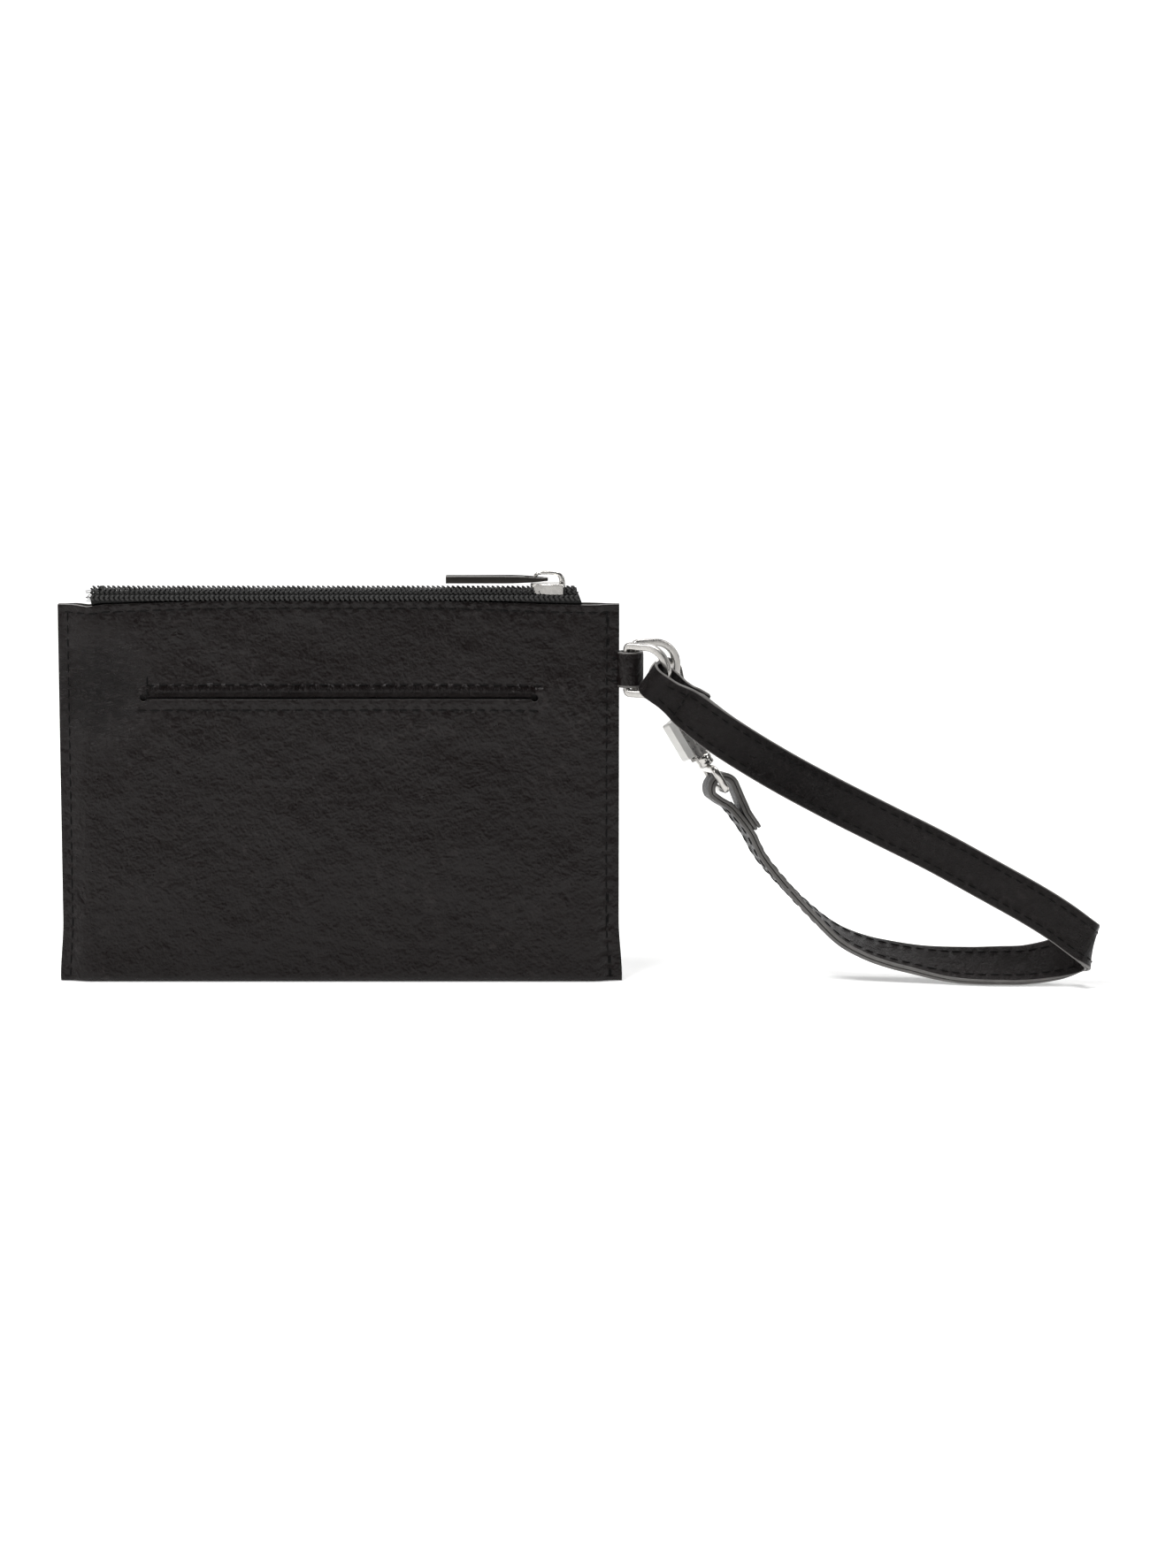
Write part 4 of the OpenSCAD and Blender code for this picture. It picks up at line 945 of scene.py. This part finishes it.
def strap_finish(name, tone, wrinkle):
    made = Finish(name, (0.015, 0.013, 0.012), 0.4)
    along, across = made.flat_place("strip")
    where_x, _, where_z = made.split(made.place)
    # A patch part-way down the strap, with a small share along all of it: there the crease crests are painted lighter
    # as glints, raised in bump and made a little glossier.
    wrinkles_and_glints = made.fade(made.calc("ADD", made.away(where_x, 0.119, 0.014), made.away(where_z, 0.054, 0.016)))
    wrinkles_and_glints = made.calc("ADD", wrinkles_and_glints, 0.22)
    creases = made.calc("ABSOLUTE", made.calc("SUBTRACT", made.noise(700, 4.0, 0.65, None, 1.4), 0.5))
    leather_grain(made, tone, made.calc("MULTIPLY", made.range(creases, 0.03, 0.16, 0.0, 0.9 * wrinkle), wrinkles_and_glints))
    rows = made.pucker(along, across, 0.0036, 0.0009, 0.00335)
    rows = made.calc("ADD", rows, made.pucker(along, across, -0.0036, 0.0008, 0.00335))
    made.raise_by(rows, 0.0002, 0.8)
    made.raise_by(made.calc("MULTIPLY", creases, wrinkles_and_glints), 0.009 * wrinkle, 1.0)
    satin = made.range(made.noise(210, 5.0, 0.62), 0.25, 0.75, 0.31, 0.45)
    made.rough(made.calc("SUBTRACT", satin, made.calc("MULTIPLY", wrinkles_and_glints, 0.12 * wrinkle)))
    return made.made

face_finish = strap_finish("strap_face_leather", 1.05, 1.0)
backing_finish = strap_finish("strap_backing_leather", 1.15, 0.35)
ply_piece("strap_face_strip", face_line, 0.03, ply, 0.0, [face_finish, edge_paint.made], "leather", "strap_face")
ply_piece("strap_backing_strip", backing_line, -ply, -0.03, 0.1, [backing_finish, edge_paint.made], "strap_backing",
          "strap_backing")

def strap_path(start, end, side_off, out):
    path, run = [], 0.0
    for i, (p, _) in enumerate(main_line):
        run += (p - main_line[i - 1][0]).length if i else 0.0
        if start <= run <= end:
            t, w, n = frame_at(main_line, i)
            path.append(p + side_off * (half_width(p) - 2.0) * w + out * n)
    return path

strap_length = sum((main_line[i + 1][0] - main_line[i][0]).length for i in range(len(main_line) - 1))
strap_lines = [strap_path(3.5, strap_length - 6, side, out) for side in (-1, 1) for out in (ply + 0.04, -ply - 0.04)]
place_piece(grown("strap_edge_thread", strap_lines, row_tree, Pitch=0.00335, Length=0.0026, Thickness=0.00044, Seed=13,
                  Thread=thread.made), "strap", "thread", "strap_stitching")
tack_at = strap_path(8.2, 9.4, 0.0, ply + 0.06)[0]
place_piece(grown("strap_tack_thread", [[tack_at + wide_a * t for t in (-3, -1.5, 0, 1.5, 3)]], row_tree, Pitch=0.0015,
                  Length=0.0017, Thickness=0.0005, Seed=17, Thread=thread.made), "strap", "thread", "strap_end_tacks")

# ---- Swivel eye ----
# A cast nickel-plated eye: a bar that the strap folds round, two legs that widen towards the
# yoke, and a riveted stem that turns in the hook's collar.
at_eye = Matrix.Translation(hook_base) @ Matrix.Rotation(-lean, 4, "Y") @ Matrix.Rotation(eye_turn, 4, "Z")
eye_path = [(y, -9.8, 0.92) for y in spaced(-6.2, 6.2, 1.55)]
eye_path += [(6.2 + 1.15 * math.sin(a), -8.65 - 1.15 * math.cos(a), 0.92) for a in spaced(0.4, 1.57, 0.39)]
eye_path += [(7.35, z, 0.92 + 0.38 * ease((z + 8.6) / 4)) for z in spaced(-7.9, -5.2, 0.9)]
eye_path += [(6.05 + 1.3 * math.cos(a), -5.0 + 1.3 * math.sin(a), 1.28) for a in spaced(0.3, 1.57, 0.42)]
eye_path += [(y, -3.72, 1.1 + 0.15 * abs(y) / 6) for y in spaced(5.0, -5.0, 1.25)]
eye_path += [(-6.05 - 1.3 * math.cos(a), -5.0 + 1.3 * math.sin(a), 1.28) for a in spaced(1.57, 0.3, 0.42)]
eye_path += [(-7.35, z, 0.92 + 0.38 * ease((z + 8.6) / 4)) for z in spaced(-5.2, -7.9, 0.9)]
eye_path += [(-6.2 - 1.15 * math.sin(a), -8.65 - 1.15 * math.cos(a), 0.92) for a in spaced(1.57, 0.4, 0.39)]
eye_rings = []
for i, (y, z, size) in enumerate(eye_path):
    a, b = eye_path[i - 1], eye_path[(i + 1) % len(eye_path)]
    out = Vector((0, b[1] - a[1], -(b[0] - a[0]))).normalized()
    eye_rings.append([at_eye @ (Vector((0, y, z)) + m * out + Vector((n, 0, 0)))
                      for m, n in squared(size * 0.97, 0.93, 2.5, 18)])
eye_loop = piece("eye_loop", *loft(eye_rings, closed_path=True), [nickel.made])
stem_line = [(0.78, -3.7), (0.78, -1.0), (1.08, -0.93), (1.1, -0.5), (0.95, -0.12), (0.5, -0.06)]
def turned(name, line, where, finish, sides=24, x=0.0):
    rings = [[where @ Vector((x + r * math.cos(2 * math.pi * k / sides), r * math.sin(2 * math.pi * k / sides), z))
              for k in range(sides)] for r, z in line]
    return piece(name, *loft(rings), [finish])
place_piece(joined("swivel_eye_cast", [eye_loop, turned("stem", stem_line, at_eye, nickel.made)]),
            "swivel", "nickel", "swivel_eye")

# ---- Snap hook ----
# A cast zinc hook with bright nickel plate: collar, a housing with a slot for the bolt, and a spine
# that runs up and over into a nose. The bolt closes the gap and is pushed up by a small spring.
at_hook = Matrix.Translation(hook_base) @ Matrix.Rotation(-lean, 4, "Y") @ Matrix.Rotation(math.radians(48), 4, "Z")
spine = [(1.1, 0.4), (1.5, 2.6), (1.9, 5), (2.6, 7.8), (3.4, 10.5), (4.6, 13.6), (5.8, 16.5), (7.1, 19.0), (8, 20.8)]
spine += [(3.45 + 5.45 * math.cos(math.radians(a)), 22.6 + 4.4 * math.sin(math.radians(a))) for a in range(0, 166, 11)]
spine_fine = finer([tuple(p) for p in spine], 2)
spine_rings = []
for i, (x, z) in enumerate(spine_fine):
    a, b = spine_fine[max(0, i - 1)], spine_fine[min(len(spine_fine) - 1, i + 1)]
    out = Vector((-(b[1] - a[1]), 0, b[0] - a[0])).normalized()
    end = min(1.0, (len(spine_fine) - 1 - i) / 3)
    size = (1.18 - 0.2 * ease(i / 12)) * (0.7 + 0.3 * end)
    spine_rings.append([at_hook @ (Vector((x, 0, z)) + m * out + Vector((0, n, 0)))
                        for m, n in squared(size, 0.88 * (0.8 + 0.2 * end), 3.4, 20)])
hook_parts = [piece("spine", *loft(spine_rings), [nickel.made])]
collar_line = [(0.95, -2.55), (1.9, -2.6), (2.15, -2.4), (2.2, -1.9), (2.05, -1.5), (2.05, -1.2), (2.2, -0.9), (2.2, -0.1),
               (2.0, 0.25), (1.2, 0.42)]
hook_parts.append(turned("collar", collar_line + [(0.5, 0.42), (0.5, 0.3), (1.3, 0.15), (1.3, -1.1), (0.9, -1.12)], at_hook,
                         nickel.made, 32))

def block(name, low, high, where, finish, bevel):
    base = ((low[0], low[1]), (high[0], low[1]), (high[0], high[1]), (low[0], high[1]))
    corners = [(x, y, z) for z in (low[2], high[2]) for x, y in base]
    thing = piece(name, [where @ Vector(c) for c in corners],
                  [(0, 1, 2, 3), (4, 5, 6, 7), (0, 1, 5, 4), (1, 2, 6, 5), (2, 3, 7, 6), (3, 0, 4, 7)], [finish])
    return rounded(thing, bevel, 3)

for name, low, high in (("housing_back", (-1.14, -1.3, 0.1), (0.95, 1.3, 12.8)),
                        ("housing_foot", (-3.2, -1.3, 0.1), (-1.0, 1.3, 0.98)),
                        ("housing_cheek", (-3.2, -1.3, 0.5), (-1.0, -0.84, 12.8)),
                        ("housing_cheek", (-3.2, 0.84, 0.5), (-1.0, 1.3, 12.8)),
                        ("housing_lip", (-3.2, -1.3, 0.5), (-2.84, -0.52, 12.8)),
                        ("housing_lip", (-3.2, 0.52, 0.5), (-2.84, 1.3, 12.8))):
    hook_parts.append(block(name, low, high, at_hook, satin.made, 0.16))
place_piece(joined("hook_casting", hook_parts), "snap_hook", "nickel", "hook_frame")

# ---- Bolt and spring ----
# The bolt is a round nickel-plated rod with a flat thumb piece riding outside the housing's slot. A
# coil spring of steel wire, pressed to a few turns, sits under it at the bottom of the bore.
brushed = Finish("thumb_piece_brushed", (0.5, 0.49, 0.47), 0.4, 0.4)
brushed.shade(brushed.noise(300, 4.0), (0.62, 0.61, 0.59), (0.78, 0.77, 0.745))
brushed.rough(brushed.range(brushed.noise(900, 4.0), 0.25, 0.75, 0.36, 0.5))
brushed.raise_by(brushed.noise(1.0, 3.0, 0.6, brushed.stretched((5200, 900, 900))), 0.00002, 0.6)
rod_line = [(0.35, 8.7), (0.74, 8.78), (0.74, 21.9), (0.6, 22.35), (0.3, 22.5)]
bolt_parts = [turned("rod", rod_line, at_hook, nickel.made, 24, x=-2.0),
              block("bridge_piece", (-3.5, -0.4, 8.7), (-2.2, 0.4, 11.3), at_hook, nickel.made, 0.1)]
thumb_outline = []
for z in spaced(1.6, 12.8, 0.28):
    end = min(z - 1.6, 12.8 - z)
    thumb_outline.append((-6.1 + 0.5 * (1 - math.sqrt(max(0.0, 1 - (1 - min(1.0, end / 0.9)) ** 2))), z))
thumb_points = [(x, y, z) for x, z in thumb_outline for y in (-1.3, 1.3)]
thumb_points += [(-3.36, y, z) for x, z in thumb_outline for y in (-1.3, 1.3)]
count = len(thumb_outline)
thumb_faces = [(2 * i, 2 * i + 1, 2 * i + 3, 2 * i + 2) for i in range(count - 1)]
thumb_faces += [(2 * count + 2 * i, 2 * count + 2 * i + 2, 2 * count + 2 * i + 3, 2 * count + 2 * i + 1)
                for i in range(count - 1)]
for y in (0, 1):
    thumb_faces += [(2 * i + y, 2 * i + 2 + y, 2 * count + 2 * i + 2 + y, 2 * count + 2 * i + y) for i in range(count - 1)]
thumb_faces += [(0, 1, 2 * count + 1, 2 * count), (2 * count - 2, 2 * count - 1, 4 * count - 1, 4 * count - 2)]
thumb = piece("thumb_piece", [at_hook @ Vector(p) for p in thumb_points], thumb_faces, [brushed.made])
bolt_parts.append(rounded(thumb, 0.22, 3))
place_piece(joined("hook_bolt_slide", bolt_parts), "bolt", "nickel", "hook_bolt")

def spring_tree():
    tree, make, join, given = open_tree("pressed_spring", "Steel", Turns=4.5, Radius=0.0006, Height=0.0017, Wire=0.00013)
    helix, wire = make("GeometryNodeCurveSpiral"), make("GeometryNodeCurvePrimitiveCircle")
    swept = make("GeometryNodeCurveToMesh")
    helix.inputs["Resolution"].default_value, wire.inputs["Resolution"].default_value = 20, 8
    join(given.outputs["Turns"], helix.inputs["Rotations"])
    join(given.outputs["Radius"], helix.inputs["Start Radius"])
    join(given.outputs["Radius"], helix.inputs["End Radius"])
    join(given.outputs["Height"], helix.inputs["Height"])
    join(given.outputs["Wire"], wire.inputs["Radius"])
    join(helix.outputs[0], swept.inputs["Curve"])
    join(wire.outputs["Curve"], swept.inputs["Profile Curve"])
    swept.inputs["Fill Caps"].default_value = True
    smooth = make("GeometryNodeSetShadeSmooth")
    join(swept.outputs[0], smooth.inputs["Geometry"])
    return close_tree(tree, smooth.outputs[0], given.outputs["Steel"])

steel = Finish("spring_wire_steel", (0.5, 0.49, 0.47), 0.3, 1.0)
steel.rough(steel.range(steel.noise(1500, 4.0), 0.3, 0.7, 0.22, 0.42))
steel.raise_by(steel.noise(6000, 2.0), 0.00001, 0.5)
spring = grown("bolt_spring_coil", [[(0, 0, 0), (0, 0, 1)]], spring_tree(), Turns=4.5, Radius=0.0006, Height=0.0016, Wire=0.00013,
               Steel=steel.made)
metre_hook = Matrix.Translation(hook_base * 0.001) @ at_hook.to_3x3().to_4x4() @ Matrix.Translation((-0.002, 0, 0.0012))
spring.data.transform(metre_hook)
place_piece(spring, "snap_hook", "spring_steel", "bolt_spring")
